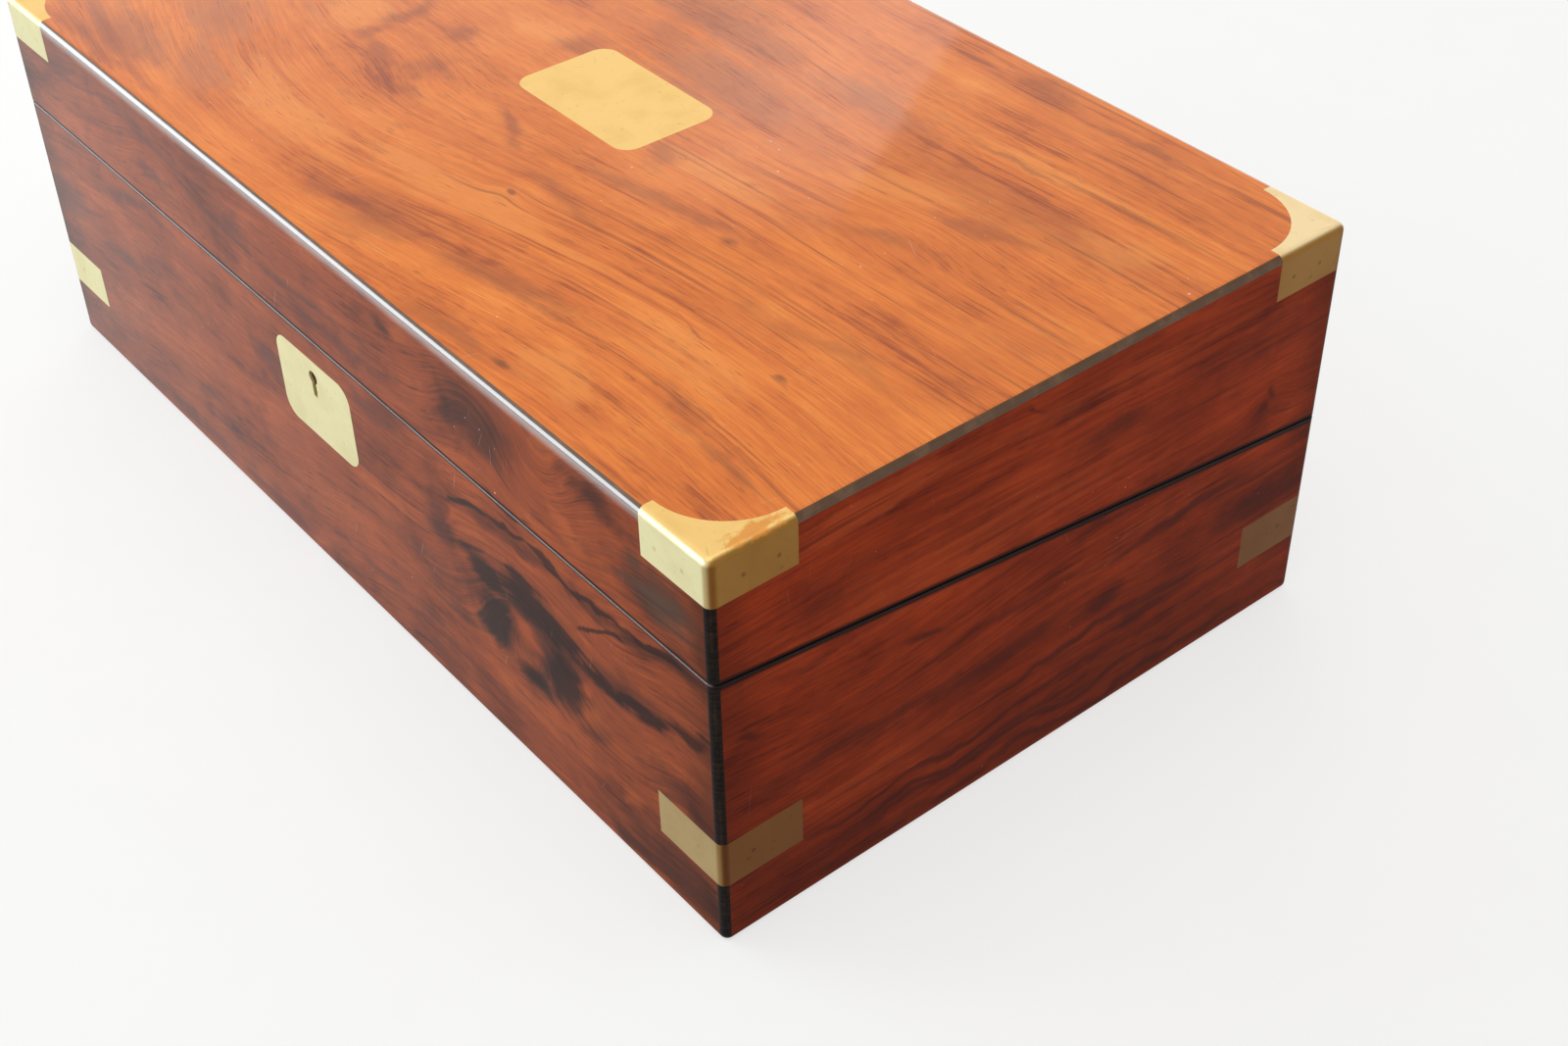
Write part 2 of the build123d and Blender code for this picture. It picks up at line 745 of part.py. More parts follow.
base_bottom = block(-inner_x, inner_x, -inner_y, inner_y, 0, bottom_thickness)
base_front = wall_board(-1, base_envelope, box_height) - base_let_in - front_hardware
base_back = wall_board(1, base_envelope, box_height) - base_let_in - back_hardware
base_ends = {side: end_board(side, base_envelope, box_height) - base_let_in for side in (-1, 1)}
base_front_veneer = wall_veneer(-1, base_envelope) - base_let_in - front_hardware
base_back_veneer = wall_veneer(1, base_envelope) - base_let_in - back_hardware
base_end_veneers = {side: end_veneer(side, base_envelope) - base_let_in for side in (-1, 1)}

# ---------------------------------------------------------------- lid boards and veneers
carcass_top = box_height - veneer_thickness - top_thickness
lid_let_in = solids_of(lid_caps, cap_pins, lid_strings)
lid_back_hardware = solids_of(
    *knuckle_rooms,
    *[leaf_plate(x, 1) for x in hinge_places],
    *[wall_leaf_plate(x, 1) for x in flap_hinge_places],
    lid_screw_holes,
)
board_reach_x = half_length - veneer_thickness
board_reach_y = half_depth - veneer_thickness
lid_top = block(
    -board_reach_x, board_reach_x, -board_reach_y, board_reach_y, carcass_top, box_height - veneer_thickness
) & lid_envelope
lid_top -= lid_let_in
lid_top_veneer = block(
    -half_length, half_length, -half_depth, half_depth, box_height - veneer_thickness, box_height
) & lid_envelope
lid_top_veneer = lid_top_veneer - lid_let_in - nameplate
lid_front = wall_board(-1, lid_envelope, carcass_top) - lid_let_in - link_plate_blank - lid_screw_holes
lid_back = wall_board(1, lid_envelope, carcass_top) - lid_let_in - lid_back_hardware
lid_ends = {side: end_board(side, lid_envelope, carcass_top) - lid_let_in for side in (-1, 1)}
lid_front_veneer = wall_veneer(-1, lid_envelope) - lid_let_in
lid_back_veneer = wall_veneer(1, lid_envelope) - lid_let_in - lid_back_hardware
lid_end_veneers = {side: end_veneer(side, lid_envelope) - lid_let_in for side in (-1, 1)}

# ---------------------------------------------------------------- the nodes
os.makedirs("parts", exist_ok=True)
save("base_bottom_board", base_bottom)
save("base_front_board", base_front)
save("base_back_board", base_back)
save("base_left_end_board", base_ends[-1])
save("base_right_end_board", base_ends[1])
save("base_front_veneer", base_front_veneer)
save("base_back_veneer", base_back_veneer)
save("base_left_end_veneer", base_end_veneers[-1])
save("base_right_end_veneer", base_end_veneers[1])
save("base_corner_stringing", base_strings)
save("base_corner_straps", base_straps)
save("base_strap_pins", strap_pins)
save("lock_escutcheon", escutcheon)
save("lock_case", lock_case - base_screw_holes)
save("lock_cap", lock_cap)
save("lock_bolt", bolt)
save("base_hinge_leaves", *[leaf - base_screw_holes for leaf in base_hinge_leaves])
save("main_hinge_pins", *hinge_pins)
save("base_rim_screws", *[slotted for whole, slotted in base_screws])
save("pen_partition", partition)
save("pen_compartment_floor", pen_floor)
save("ink_divider_left", ink_dividers["left"])
save("ink_divider_right", ink_dividers["right"])
save("pen_tray_rests", *tray_rests)
save("pen_tray", pen_tray)
save("ink_bottle_left", ink_bottles["left"])
save("ink_bottle_right", ink_bottles["right"])
save("ink_cap_left", ink_caps["left"])
save("ink_cap_right", ink_caps["right"])
save("base_flap_ledges", *base_ledges)
save("base_flap_board", base_flap_board)
save("base_writing_leather", base_flap_leather)
save("base_flap_hinge_leaves", *[hinge[0] for hinge in base_flap_hinges])
save("base_flap_wall_leaves", *[hinge[1] for hinge in base_flap_hinges])
save("base_flap_hinge_pins", *[hinge[2] for hinge in base_flap_hinges])
save("lid_top_board", lid_top)
save("lid_front_board", lid_front)
save("lid_back_board", lid_back)
save("lid_left_end_board", lid_ends[-1])
save("lid_right_end_board", lid_ends[1])
save("lid_top_veneer", lid_top_veneer)
save("lid_front_veneer", lid_front_veneer)
save("lid_back_veneer", lid_back_veneer)
save("lid_left_end_veneer", lid_end_veneers[-1])
save("lid_right_end_veneer", lid_end_veneers[1])
save("lid_stringing", lid_strings)
save("lid_corner_caps", lid_caps)
save("lid_cap_pins", cap_pins)
save("nameplate", nameplate)
save("lock_link_plate", link_plate_blank - link_loops - lid_screw_holes)
save("lock_link_loops", link_loops)
save("lid_hinge_leaves", *[leaf - lid_screw_holes for leaf in lid_hinge_leaves])
save("lid_rim_screws", *[slotted for whole, slotted in lid_screws])
save("lid_flap_ledges", *lid_ledges)
save("lid_flap_board", lid_flap_board)
save("lid_writing_leather", lid_flap_leather)
save("lid_flap_hinge_leaves", *[hinge[0] for hinge in lid_flap_hinges])
save("lid_flap_wall_leaves", *[hinge[1] for hinge in lid_flap_hinges])
save("lid_flap_hinge_pins", *[hinge[2] for hinge in lid_flap_hinges])
print("main hinge axis", hinge_axis_y, hinge_height)
print("flap hinge axes", flap_axis_y, flap_axis_height(-1), flap_axis_height(1))
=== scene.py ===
import math

import bpy
from mathutils import Matrix, Vector


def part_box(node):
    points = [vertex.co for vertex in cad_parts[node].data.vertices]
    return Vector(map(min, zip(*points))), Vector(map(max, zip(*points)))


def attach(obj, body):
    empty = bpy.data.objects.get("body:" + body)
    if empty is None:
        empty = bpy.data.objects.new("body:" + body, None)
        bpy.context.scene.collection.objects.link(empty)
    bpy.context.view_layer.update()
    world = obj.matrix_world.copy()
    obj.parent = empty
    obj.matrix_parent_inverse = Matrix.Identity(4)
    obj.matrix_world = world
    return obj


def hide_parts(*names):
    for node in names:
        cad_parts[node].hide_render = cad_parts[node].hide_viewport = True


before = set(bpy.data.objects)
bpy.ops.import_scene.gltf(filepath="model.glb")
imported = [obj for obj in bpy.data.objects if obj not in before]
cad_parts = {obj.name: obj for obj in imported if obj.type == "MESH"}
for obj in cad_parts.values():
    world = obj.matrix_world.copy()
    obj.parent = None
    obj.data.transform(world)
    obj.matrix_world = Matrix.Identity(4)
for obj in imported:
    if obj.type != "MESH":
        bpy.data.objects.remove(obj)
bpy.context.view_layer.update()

MM = 0.001

# ---------------------------------------------------------------- sizes of the closed box, in metres
HALF_LENGTH = 0.204
HALF_DEPTH = 0.120
HEIGHT = 0.1425
FRONT_JOINT = 0.1005
REAR_JOINT = 0.07125
JOINT_FALL = (FRONT_JOINT - REAR_JOINT) / (2 * HALF_DEPTH)

# ---------------------------------------------------------------- the eye: metres, degrees, millimetres
CAMERA_PLACE = Vector((0.5382, -0.3618, 0.4953))
CAMERA_TURN = 51.48
CAMERA_TILT = 39.54
CAMERA_ROLL = -1.18
CAMERA_LENS = 51.03
CAMERA_SENSOR = 36.0
CAMERA_NEAR = 0.01
CAMERA_FAR = 60


def place_camera():
    """Sets the eye by its turn about the upright, its tilt down and its roll."""
    turn, tilt, roll = (math.radians(v) for v in (CAMERA_TURN, CAMERA_TILT, CAMERA_ROLL))
    ahead = Vector((-math.sin(turn) * math.cos(tilt), math.cos(turn) * math.cos(tilt), -math.sin(tilt)))
    right = Vector((math.cos(turn), math.sin(turn), 0))
    up = right.cross(ahead)
    rolled_right = right * math.cos(roll) + up * math.sin(roll)
    rolled_up = up * math.cos(roll) - right * math.sin(roll)
    data = bpy.data.cameras.new("eye")
    data.lens = CAMERA_LENS
    data.sensor_width = CAMERA_SENSOR
    data.clip_start = CAMERA_NEAR
    data.clip_end = CAMERA_FAR
    camera = bpy.data.objects.new("eye", data)
    bpy.context.collection.objects.link(camera)
    turned = Matrix((rolled_right, rolled_up, -ahead)).transposed()
    camera.matrix_world = Matrix.Translation(CAMERA_PLACE) @ turned.to_4x4()
    bpy.context.scene.camera = camera


# ---------------------------------------------------------------- laying out nodes
class Bench:
    """Adds shader nodes to one tree and joins them up."""

    def __init__(self, tree):
        self.tree = tree

    def add(self, kind, feeds=None, **settings):
        node = self.tree.nodes.new("ShaderNode" + kind)
        for key, value in settings.items():
            setattr(node, key, value)
        for key, value in (feeds or {}).items():
            self.feed(node.inputs[key], value)
        return node

    def feed(self, socket, value):
        if isinstance(value, bpy.types.NodeSocket):
            self.tree.links.new(value, socket)
        elif socket.type == "RGBA" and len(value) == 3:
            socket.default_value = (*value, 1)
        else:
            socket.default_value = value

    def sum(self, operation, *values, clamp=False):
        feeds = dict(enumerate(values))
        return self.add("Math", feeds, operation=operation, use_clamp=clamp).outputs[0]

    def vector(self, operation, *values):
        return self.add("VectorMath", dict(enumerate(values)), operation=operation).outputs[0]

    def parts(self, vector):
        return self.add("SeparateXYZ", {0: vector}).outputs

    def join(self, x, y, z):
        return self.add("CombineXYZ", {0: x, 1: y, 2: z}).outputs[0]

    def noise(self, vector, scale, detail=2.0, rough=0.5, distort=0.0):
        feeds = {"Vector": vector, "Scale": scale, "Detail": detail, "Roughness": rough,
                 "Distortion": distort}
        return self.add("TexNoise", feeds).outputs[0]

    def fit(self, value, low, high, new_low=0.0, new_high=1.0, curve="SMOOTHSTEP"):
        feeds = {"Value": value, "From Min": low, "From Max": high, "To Min": new_low, "To Max": new_high}
        return self.add("MapRange", feeds, interpolation_type=curve).outputs[0]

    def blend(self, amount, first, second, way="MIX"):
        node = self.add("Mix", data_type="RGBA", blend_type=way, clamp_factor=True)
        self.feed(node.inputs[0], amount)
        self.feed(node.inputs[6], first)
        self.feed(node.inputs[7], second)
        return node.outputs[2]

    def ramp(self, value, *stops):
        node = self.add("ValToRGB", {0: value})
        band = node.color_ramp
        band.interpolation = "EASE"
        while len(band.elements) < len(stops):
            band.elements.new(1.0)
        for element, (place, colour) in zip(band.elements, stops):
            element.position = place
            element.color = (*colour, 1)
        return node.outputs[0]

    def use(self, name, **feeds):
        node = self.add("Group", node_tree=bpy.data.node_groups[name])
        for key, value in feeds.items():
            self.feed(node.inputs[key.replace("_", " ")], value)
        return node.outputs


def effect(name, feeds, gives, build):
    """A shared effect: a node group with named inputs and outputs."""
    tree = bpy.data.node_groups.new(name, "ShaderNodeTree")
    for label, (kind, start) in feeds.items():
        socket = tree.interface.new_socket(label, in_out="INPUT", socket_type="NodeSocket" + kind)
        if start is not None:
            socket.default_value = start
    for label, kind in gives.items():
        tree.interface.new_socket(label, in_out="OUTPUT", socket_type="NodeSocket" + kind)
    source = tree.nodes.new("NodeGroupInput").outputs
    bench = Bench(tree)
    results = build(bench, {label: source[label] for label in feeds})
    sink = tree.nodes.new("NodeGroupOutput")
    for label, value in results.items():
        bench.feed(sink.inputs[label], value)


def finish(name):
    """A new finish: its bench, its main shader and the place on the object."""
    material = bpy.data.materials.new(name)
    material.use_nodes = True
    bench = Bench(material.node_tree)
    bench.shader = material.node_tree.nodes["Principled BSDF"]
    bench.place = bench.add("TexCoord").outputs["Object"]
    bench.material = material
    return bench


def set_shader(bench, **values):
    for key, value in values.items():
        bench.feed(bench.shader.inputs[key.replace("_", " ")], value)


def tint(red, green, blue):
    """A colour given in the usual 0 to 255 steps, as the shader wants it."""
    def straight(step):
        part = step / 255
        return part / 12.92 if part <= 0.04045 else ((part + 0.055) / 1.055) ** 2.4
    return tuple(straight(step) for step in (red, green, blue))


# ---------------------------------------------------------------- shared effects
def build_soft_place(b, given):
    """An oval that is full at its centre and fades evenly outwards."""
    offset = b.vector("SUBTRACT", given["Place"], given["Centre"])
    turned = b.add("VectorRotate", {"Vector": offset, "Angle": b.sum("MULTIPLY", given["Turn"], -1.0)},
                   rotation_type="Z_AXIS").outputs[0]
    x, y, _ = b.parts(b.vector("DIVIDE", turned, given["Reach"]))
    square = b.sum("ADD", b.sum("MULTIPLY", x, x), b.sum("MULTIPLY", y, y))
    return {"Amount": b.sum("EXPONENT", b.sum("MULTIPLY", square, -1.0))}


effect("soft_place",
       {"Place": ("Vector", None), "Centre": ("Vector", None), "Reach": ("Vector", (0.01, 0.01, 1.0)),
        "Turn": ("Float", 0.0)},
       {"Amount": "Float"}, build_soft_place)


def build_grain(b, given):
    """Five widths of grain, drawn out along the wood and packed close across its course."""
    along = b.parts(given["Place"])[0]
    course = given["Course"]
    seed = given["Seed"]

    def lay(stretch, squeeze, step, detail, rough=0.55):
        place = b.join(b.sum("MULTIPLY", along, stretch), b.sum("MULTIPLY", course, squeeze),
                       b.sum("ADD", seed, step))
        return b.noise(place, 1.0, detail, rough)

    pore = b.fit(lay(stretch=120.0, squeeze=2100.0, step=9.7, detail=1.0), 0.6, 0.72)
    patch = b.fit(lay(stretch=14.0, squeeze=110.0, step=14.2, detail=2.0), 0.36, 0.62)
    return {
        "Band": b.fit(lay(stretch=4.0, squeeze=70.0, step=0.0, detail=3.0), 0.25, 0.75),
        "Streak": b.fit(lay(stretch=11.0, squeeze=260.0, step=18.6, detail=4.0, rough=0.62), 0.28, 0.72),
        "Line": b.fit(lay(stretch=9.0, squeeze=420.0, step=6.3, detail=3.0, rough=0.6), 0.56, 0.72),
        "Fibre": b.fit(lay(stretch=60.0, squeeze=1300.0, step=3.1, detail=3.0, rough=0.65), 0.3, 0.7),
        "Pores": b.sum("MULTIPLY", pore, patch),
    }


effect("grain",
       {"Place": ("Vector", None), "Course": ("Float", 0.0), "Seed": ("Float", 0.0)},
       {"Band": "Float", "Streak": "Float", "Line": "Float", "Fibre": "Float", "Pores": "Float"},
       build_grain)


def build_edge(b, given):
    """Uneven rubbing along the outer edges of the closed box."""
    x, y, z = b.parts(given["Place"])
    a = b.sum("SUBTRACT", HALF_LENGTH, b.sum("ABSOLUTE", x))
    c = b.sum("SUBTRACT", HALF_DEPTH, b.sum("ABSOLUTE", y))
    e = b.sum("MINIMUM", z, b.sum("SUBTRACT", HEIGHT, z))
    least = b.sum("MINIMUM", a, c)
    most = b.sum("MAXIMUM", a, c)
    near = b.sum("MAXIMUM", least, b.sum("MINIMUM", most, e))
    uneven = b.noise(given["Place"], 90.0, 3.0, 0.6)
    reach = b.sum("MULTIPLY", given["Width"], b.fit(uneven, 0.25, 0.75, 0.25, 1.75, "LINEAR"))
    return {"Worn": b.sum("SUBTRACT", 1.0, b.fit(b.sum("DIVIDE", near, reach), 0.0, 1.0))}


effect("edge_wear", {"Place": ("Vector", None), "Width": ("Float", 0.002)}, {"Worn": "Float"}, build_edge)


def build_marks(b, given):
    """Rare fine scratches in three directions, and a few specks."""
    found = None
    for turn, seed in ((0.5, 1.7), (-0.9, 6.1), (1.9, 11.3)):
        turned = b.add("VectorRotate", {"Vector": given["Place"], "Angle": turn,
                                        "Axis": (0.3, 0.2, 0.9)}, rotation_type="AXIS_ANGLE").outputs[0]
        x, y, z = b.parts(turned)
        spot = b.join(b.sum("MULTIPLY", x, 42.0), b.sum("MULTIPLY", y, 1500.0),
                      b.sum("ADD", b.sum("MULTIPLY", z, 42.0), seed))
        line = b.fit(b.noise(spot, 1.0, 1.0), 0.76, 0.8)
        found = line if found is None else b.sum("MAXIMUM", found, line)
    rare = b.fit(b.noise(given["Place"], 33.0, 2.0), 0.5, 0.62)
    specks = b.fit(b.noise(given["Place"], 700.0, 0.0), 0.85, 0.87)
    few = b.fit(b.noise(given["Place"], 17.0, 1.0), 0.56, 0.62)
    return {"Scratches": b.sum("MULTIPLY", found, rare), "Specks": b.sum("MULTIPLY", specks, few)}


effect("small_marks", {"Place": ("Vector", None)}, {"Scratches": "Float", "Specks": "Float"}, build_marks)


# ---------------------------------------------------------------- wood
FACES = {"top": "xyz", "front": "xzy", "end": "yzx"}


def face_place(b, face):
    """The place as seen on a face: X along the grain, Y across it, Z into the wood."""
    by_name = dict(zip("xyz", b.parts(b.place)))
    return b.join(*(by_name[axis] for axis in FACES[face]))


def soft(b, place, x, y, reach_x, reach_y, turn=0.0):
    """How strongly a soft oval place acts, in millimetres on the face."""
    return b.use("soft_place", Place=place, Centre=(x * MM, y * MM, 0), Reach=(reach_x * MM, reach_y * MM, 1),
                 Turn=turn)["Amount"]


def bend_grain(b, place, slope, bends, wave, ripple, seed):
    """Height across the grain, lifted and lowered so that the lines flow round the given places."""
    along, across, _ = b.parts(place)
    course = b.sum("MULTIPLY_ADD", along, -slope, across)
    for x, y, reach_x, reach_y, turn, lift in bends:
        course = b.sum("MULTIPLY_ADD", soft(b, place, x, y, reach_x, reach_y, turn), -lift * MM, course)
    moved = b.vector("ADD", place, (seed, seed * 1.7, seed * 0.3))
    slow = b.sum("SUBTRACT", b.noise(b.vector("MULTIPLY", moved, (0.6, 1.0, 1.0)), 9.0, 1.0), 0.5)
    quick = b.sum("SUBTRACT", b.noise(b.vector("MULTIPLY", moved, (0.5, 1.0, 1.0)), 60.0, 2.0), 0.5)
    course = b.sum("MULTIPLY_ADD", slow, wave * MM, course)
    return b.sum("MULTIPLY_ADD", quick, ripple * MM, course)


def wander(b, place, scale, reach):
    """The place pushed about by up to half the reach, in millimetres, so that nothing stays a plain oval."""
    push = b.add("TexNoise", {"Vector": place, "Scale": scale, "Detail": 2.0}).outputs["Color"]
    push = b.vector("SUBTRACT", push, (0.5, 0.5, 0.5))
    return b.vector("ADD", place, b.vector("MULTIPLY", push, (reach * MM * 1.6, reach * MM, 0)))


def shade_places(b, colour, place, streak, shades):
    """Clouds and knots in the wood, each with its own tint, depth and edge."""
    broken = b.sum("SUBTRACT", b.noise(place, 85.0, 5.0, 0.62, 0.5), 0.5)
    broken = b.sum("MULTIPLY_ADD", b.sum("SUBTRACT", streak, 0.5), 0.55, b.sum("MULTIPLY", broken, 0.6))
    place = wander(b, wander(b, place, 34.0, 16.0), 120.0, 4.0)
    for hue, depth, edge, spots in shades:
        cover = None
        for spot in spots:
            strength = spot[5] if len(spot) > 5 else 1.0
            amount = b.sum("MULTIPLY", soft(b, place, *spot[:5]), strength)
            cover = amount if cover is None else b.sum("MAXIMUM", cover, amount)
        cover = b.sum("ADD", broken, cover)
        colour = b.blend(b.sum("MULTIPLY", b.fit(cover, *edge), depth), colour, hue)
    return colour


def near_side(b, place, half_span, begins, full, *levels):
    """Fades in towards a side of the box, between two depths under its surface."""
    return b.fit(b.sum("ABSOLUTE", place), half_span - begins, half_span - full, *levels)


def near_joint(b):
    """How near a point is to the joint of lid and base: one on it, nought past a hair's breadth."""
    x, y, z = b.parts(b.place)
    rise = b.sum("MULTIPLY_ADD", y, JOINT_FALL, -(REAR_JOINT + JOINT_FALL * HALF_DEPTH))
    distance = b.sum("ABSOLUTE", b.sum("ADD", z, rise))
    ending = near_side(b, x, HALF_LENGTH, 0.0012, 0.0004)
    reach = b.sum("MULTIPLY", distance, b.fit(ending, 0, 1, 1.0, 0.6))
    return b.fit(reach, 0.0006, 0.0015, 1.0, 0.0)


def darker_corners_and_foot(b, place, half_span, at_corner, at_foot):
    """How much darker the wood is made towards the upright corners and the foot."""
    along, up, _ = b.parts(place)
    uneven = b.noise(b.vector("MULTIPLY", place, (1.0, 0.35, 1.0)), 60.0, 3.0)
    reach = b.sum("SUBTRACT", half_span, b.sum("ABSOLUTE", along))
    reach = b.sum("MULTIPLY_ADD", b.sum("SUBTRACT", uneven, 0.5), 0.016, reach)
    corner = b.fit(reach, 0.001, 0.021, at_corner, 0.0)
    foot = b.fit(up, 0.0, 0.085, at_foot, 0.0)
    return b.sum("MAXIMUM", corner, foot)


# how clouds tint each face; how each face darkens: half span, strength at the corners, strength at the foot
CLOUD_TINTS = {"top": (0.6, 0.5, 0.5), "front": (0.52, 0.5, 0.66), "end": (0.6, 0.5, 0.5)}
CORNER_AND_FOOT_DARKENING = {"front": (HALF_LENGTH, 0.5, 0.08), "end": (HALF_DEPTH, 0.34, 0.3)}
# how far down the front the painted sheen and the stronger coat reach
RIM_SHEEN_REACH = 0.0056


def veneer(name, face, seed, slope, bends, wave, ripple, ramp, shades, line_hue, line_depth,
           coat, calm, contrast=1.0, pore_depth=0.45, marks_depth=0.6, figured=0.0, clouded=0.0):
    """A polished veneer on one face of the box. Coat is the film's strength at its two ends along the
    grain, and calm says where the lines come in along it and how faint they are before that."""
    b = finish(name)
    place = face_place(b, face)
    along, up, _ = b.parts(place)
    course = bend_grain(b, place, slope, bends, wave, ripple, seed)
    grain = b.use("grain", Place=place, Course=course, Seed=seed)
    mottle = b.noise(b.vector("ADD", place, (seed, 0, 0)), 30.0, 5.0, 0.62)
    lined = b.fit(along, calm[0] * MM, calm[1] * MM, calm[2], 1.0)
    tone = 0.5
    for part, share in ((grain["Band"], 0.36 * contrast), (mottle, 0.62), (grain["Fibre"], 0.24)):
        tone = b.sum("MULTIPLY_ADD", b.sum("SUBTRACT", part, 0.5), share, tone)
    streaks = b.sum("MULTIPLY", b.sum("SUBTRACT", grain["Streak"], 0.5), lined)
    tone = b.sum("MULTIPLY_ADD", streaks, 0.34 * contrast, tone)
    figure = b.noise(b.join(b.sum("MULTIPLY", along, 0.25), course, seed), 130.0, 4.0, 0.62, 0.5)
    tone = b.sum("MULTIPLY_ADD", b.sum("SUBTRACT", figure, 0.5), figured, tone)
    colour = b.ramp(tone, *ramp)
    cloudy = b.noise(b.join(along, b.sum("MULTIPLY", course, 1.8), -seed), 24.0, 4.0, 0.6, 0.5)
    colour = b.blend(b.sum("MULTIPLY", b.fit(cloudy, 0.46, 0.66), clouded), colour,
                     b.vector("MULTIPLY", colour, CLOUD_TINTS[face]))
    colour = shade_places(b, colour, place, grain["Streak"], shades)
    lines = b.sum("MULTIPLY", b.sum("MULTIPLY", grain["Line"], lined), line_depth)
    colour = b.blend(lines, colour, line_hue)
    colour = b.blend(b.sum("MULTIPLY", grain["Pores"], pore_depth), colour, tuple(0.35 * v for v in line_hue))
    marks = b.use("small_marks", Place=b.place)
    colour = b.blend(b.sum("MULTIPLY", marks["Scratches"], 0.3 * marks_depth), colour, (0.75, 0.62, 0.55))
    colour = b.blend(b.sum("MULTIPLY", marks["Specks"], marks_depth), colour, (0.85, 0.78, 0.7))
    worn = b.use("edge_wear", Place=b.place, Width=0.0022)["Worn"]
    colour = b.blend(b.sum("MULTIPLY", worn, 0.3), colour, tuple(0.5 * v for v in line_hue))
    if face in CORNER_AND_FOOT_DARKENING:
        # darker towards the upright corners and the foot
        colour = b.blend(darker_corners_and_foot(b, place, *CORNER_AND_FOOT_DARKENING[face]), colour, tuple(0.35 * v for v in line_hue))
        colour = b.blend(b.sum("MULTIPLY", near_joint(b), 0.9), colour, tint(24, 15, 12))
    if face == "front":
        # painted sheen: the top few millimetres of the front lightened to a mottled whitish haze, a painted
        # reflection under the edge's highlight
        pale = b.fit(up, HEIGHT - RIM_SHEEN_REACH, HEIGHT - 0.0026)
        pale = b.sum("MULTIPLY", pale, b.fit(mottle, 0.3, 0.7, 0.25, 0.5))
        colour = b.blend(pale, colour, tint(196, 180, 176))
    rough = b.sum("MULTIPLY_ADD", grain["Fibre"], 0.12, 0.4)
    rough = b.sum("MULTIPLY_ADD", marks["Scratches"], 0.2, rough)
    height = b.sum("SUBTRACT", b.sum("MULTIPLY", grain["Fibre"], 0.3), grain["Pores"])
    bump = b.add("Bump", {"Strength": 0.12, "Distance": 0.0002, "Height": height}).outputs[0]
    film = b.fit(along, -HALF_LENGTH, HALF_LENGTH, *coat, "LINEAR")
    film = b.sum("MULTIPLY", film, b.fit(mottle, 0.3, 0.7, 0.92, 1.0))
    if face == "front":
        film = b.sum("MAXIMUM", film, b.fit(up, HEIGHT - RIM_SHEEN_REACH, HEIGHT - 0.0024))
    set_shader(b, Base_Color=colour, Roughness=rough, Normal=bump, Specular_IOR_Level=0.02,
               Coat_Weight=film, Coat_Roughness=0.04)
    return b.material


# soft places in the wood: along and across the face in millimetres, reach each way, turn in radians, and
# the grain's lift or the tint's strength; a group of shades starts with its tint, depth and edge
TOP_BENDS = (
    (130, -80, 90, 45, 0.0, 13), (-50, -65, 70, 50, 0.0, -13), (-195, -60, 66, 80, 0.0, 24),
    (-74, -38, 26, 18, 0.0, 7), (60, 34, 60, 20, 0.2, -4), (120, 18, 34, 14, 0.35, 5),
    (26, -60, 7, 5, 0.0, 2.5), (-30, 80, 70, 30, 0.0, 9),
)
TOP_SHADES = (
    (tint(242, 148, 66), 0.55, (0.25, 0.9), (
        (130, 74, 34, 7, 0.0), (102, 33, 20, 9, 0.2), (130, -69, 34, 8, 0.0), (-110, -30, 18, 12, 0.3),
        (-58, 10, 16, 10, 0.0), (10, -72, 60, 10, 0.1), (-60, -84, 44, 12, -0.1), (60, -4, 26, 8, 0.1),
        (112, -103, 18, 7, 0.0), (172, 58, 16, 12, 0.0))),
    (tint(140, 70, 36), 0.5, (0.1, 1.15), (
        (142, 51, 62, 10, 0.03, 0.75), (90, 110, 14, 8, 0.0), (132, 105, 26, 2.4, 0.0),
        (118, 71, 30, 1.8, 0.0),
        (140, 36, 22, 4.5, 0.24), (39, -9, 8, 8, 0.0), (56, -27, 46, 4, 0.13), (92, -28, 6, 3.4, 0.0),
        (41, -48, 26, 4, 0.0), (150, -86, 16, 4, -0.46), (174, -93, 18, 3.4, -0.07),
        (69, -88, 36, 5, 0.22), (12, -98, 19, 13, 0.0), (79, -113, 26, 4.5, 0.0), (118, 8, 30, 6, 0.35, 0.8),
        (184, -10, 16, 36, 0.0, 0.4), (150, -40, 40, 5, 0.05, 0.7))),
    (tint(168, 100, 66), 0.55, (0.15, 0.95), (
        (18, 34, 46, 16, 0.0), (-22, 62, 46, 15, -0.2), (-137, -69, 26, 13, -0.35), (-111, -91, 24, 11, -0.2),
        (60, 62, 30, 10, 0.0, 0.8), (-150, -20, 34, 26, -0.4, 0.6), (-150, -100, 36, 14, 0.0))),
    (tint(136, 62, 38), 0.55, (0.1, 1.1), (
        (-97, -16, 6, 12, 0.1), (-91, -32, 6, 10, 0.4), (-78, -43, 13, 5.5, -0.5), (-58, -48, 16, 5, -0.1),
        (-60, -34, 11, 7, 0.3), (-146, -105, 26, 8, -0.1, 0.8), (-70, -14, 11, 8, -0.3),
        (-38, 13, 13, 9, 0.2), (-9, -33, 20, 3, -0.3),
        (-2, -100, 20, 4, 0.1), (-160, -113, 60, 4.5, 0.0, 0.8), (-120, 60, 30, 16, -0.4, 0.7))),
    (tint(84, 48, 32), 0.6, (0.35, 1.1), (
        (26.5, -60, 2.6, 2.0, 0.0), (101, -112, 4.4, 2.4, 0.0), (155, -59, 2.0, 1.4, 0.0),
        (120, -60, 20, 0.8, 0.0, 0.7), (92, -28, 2.6, 1.6, 0.0, 0.7))),
)
TOP_RAMP = ((0.2, tint(170, 80, 29)), (0.45, tint(218, 114, 40)), (0.68, tint(233, 129, 47)),
            (0.9, tint(246, 150, 62)))

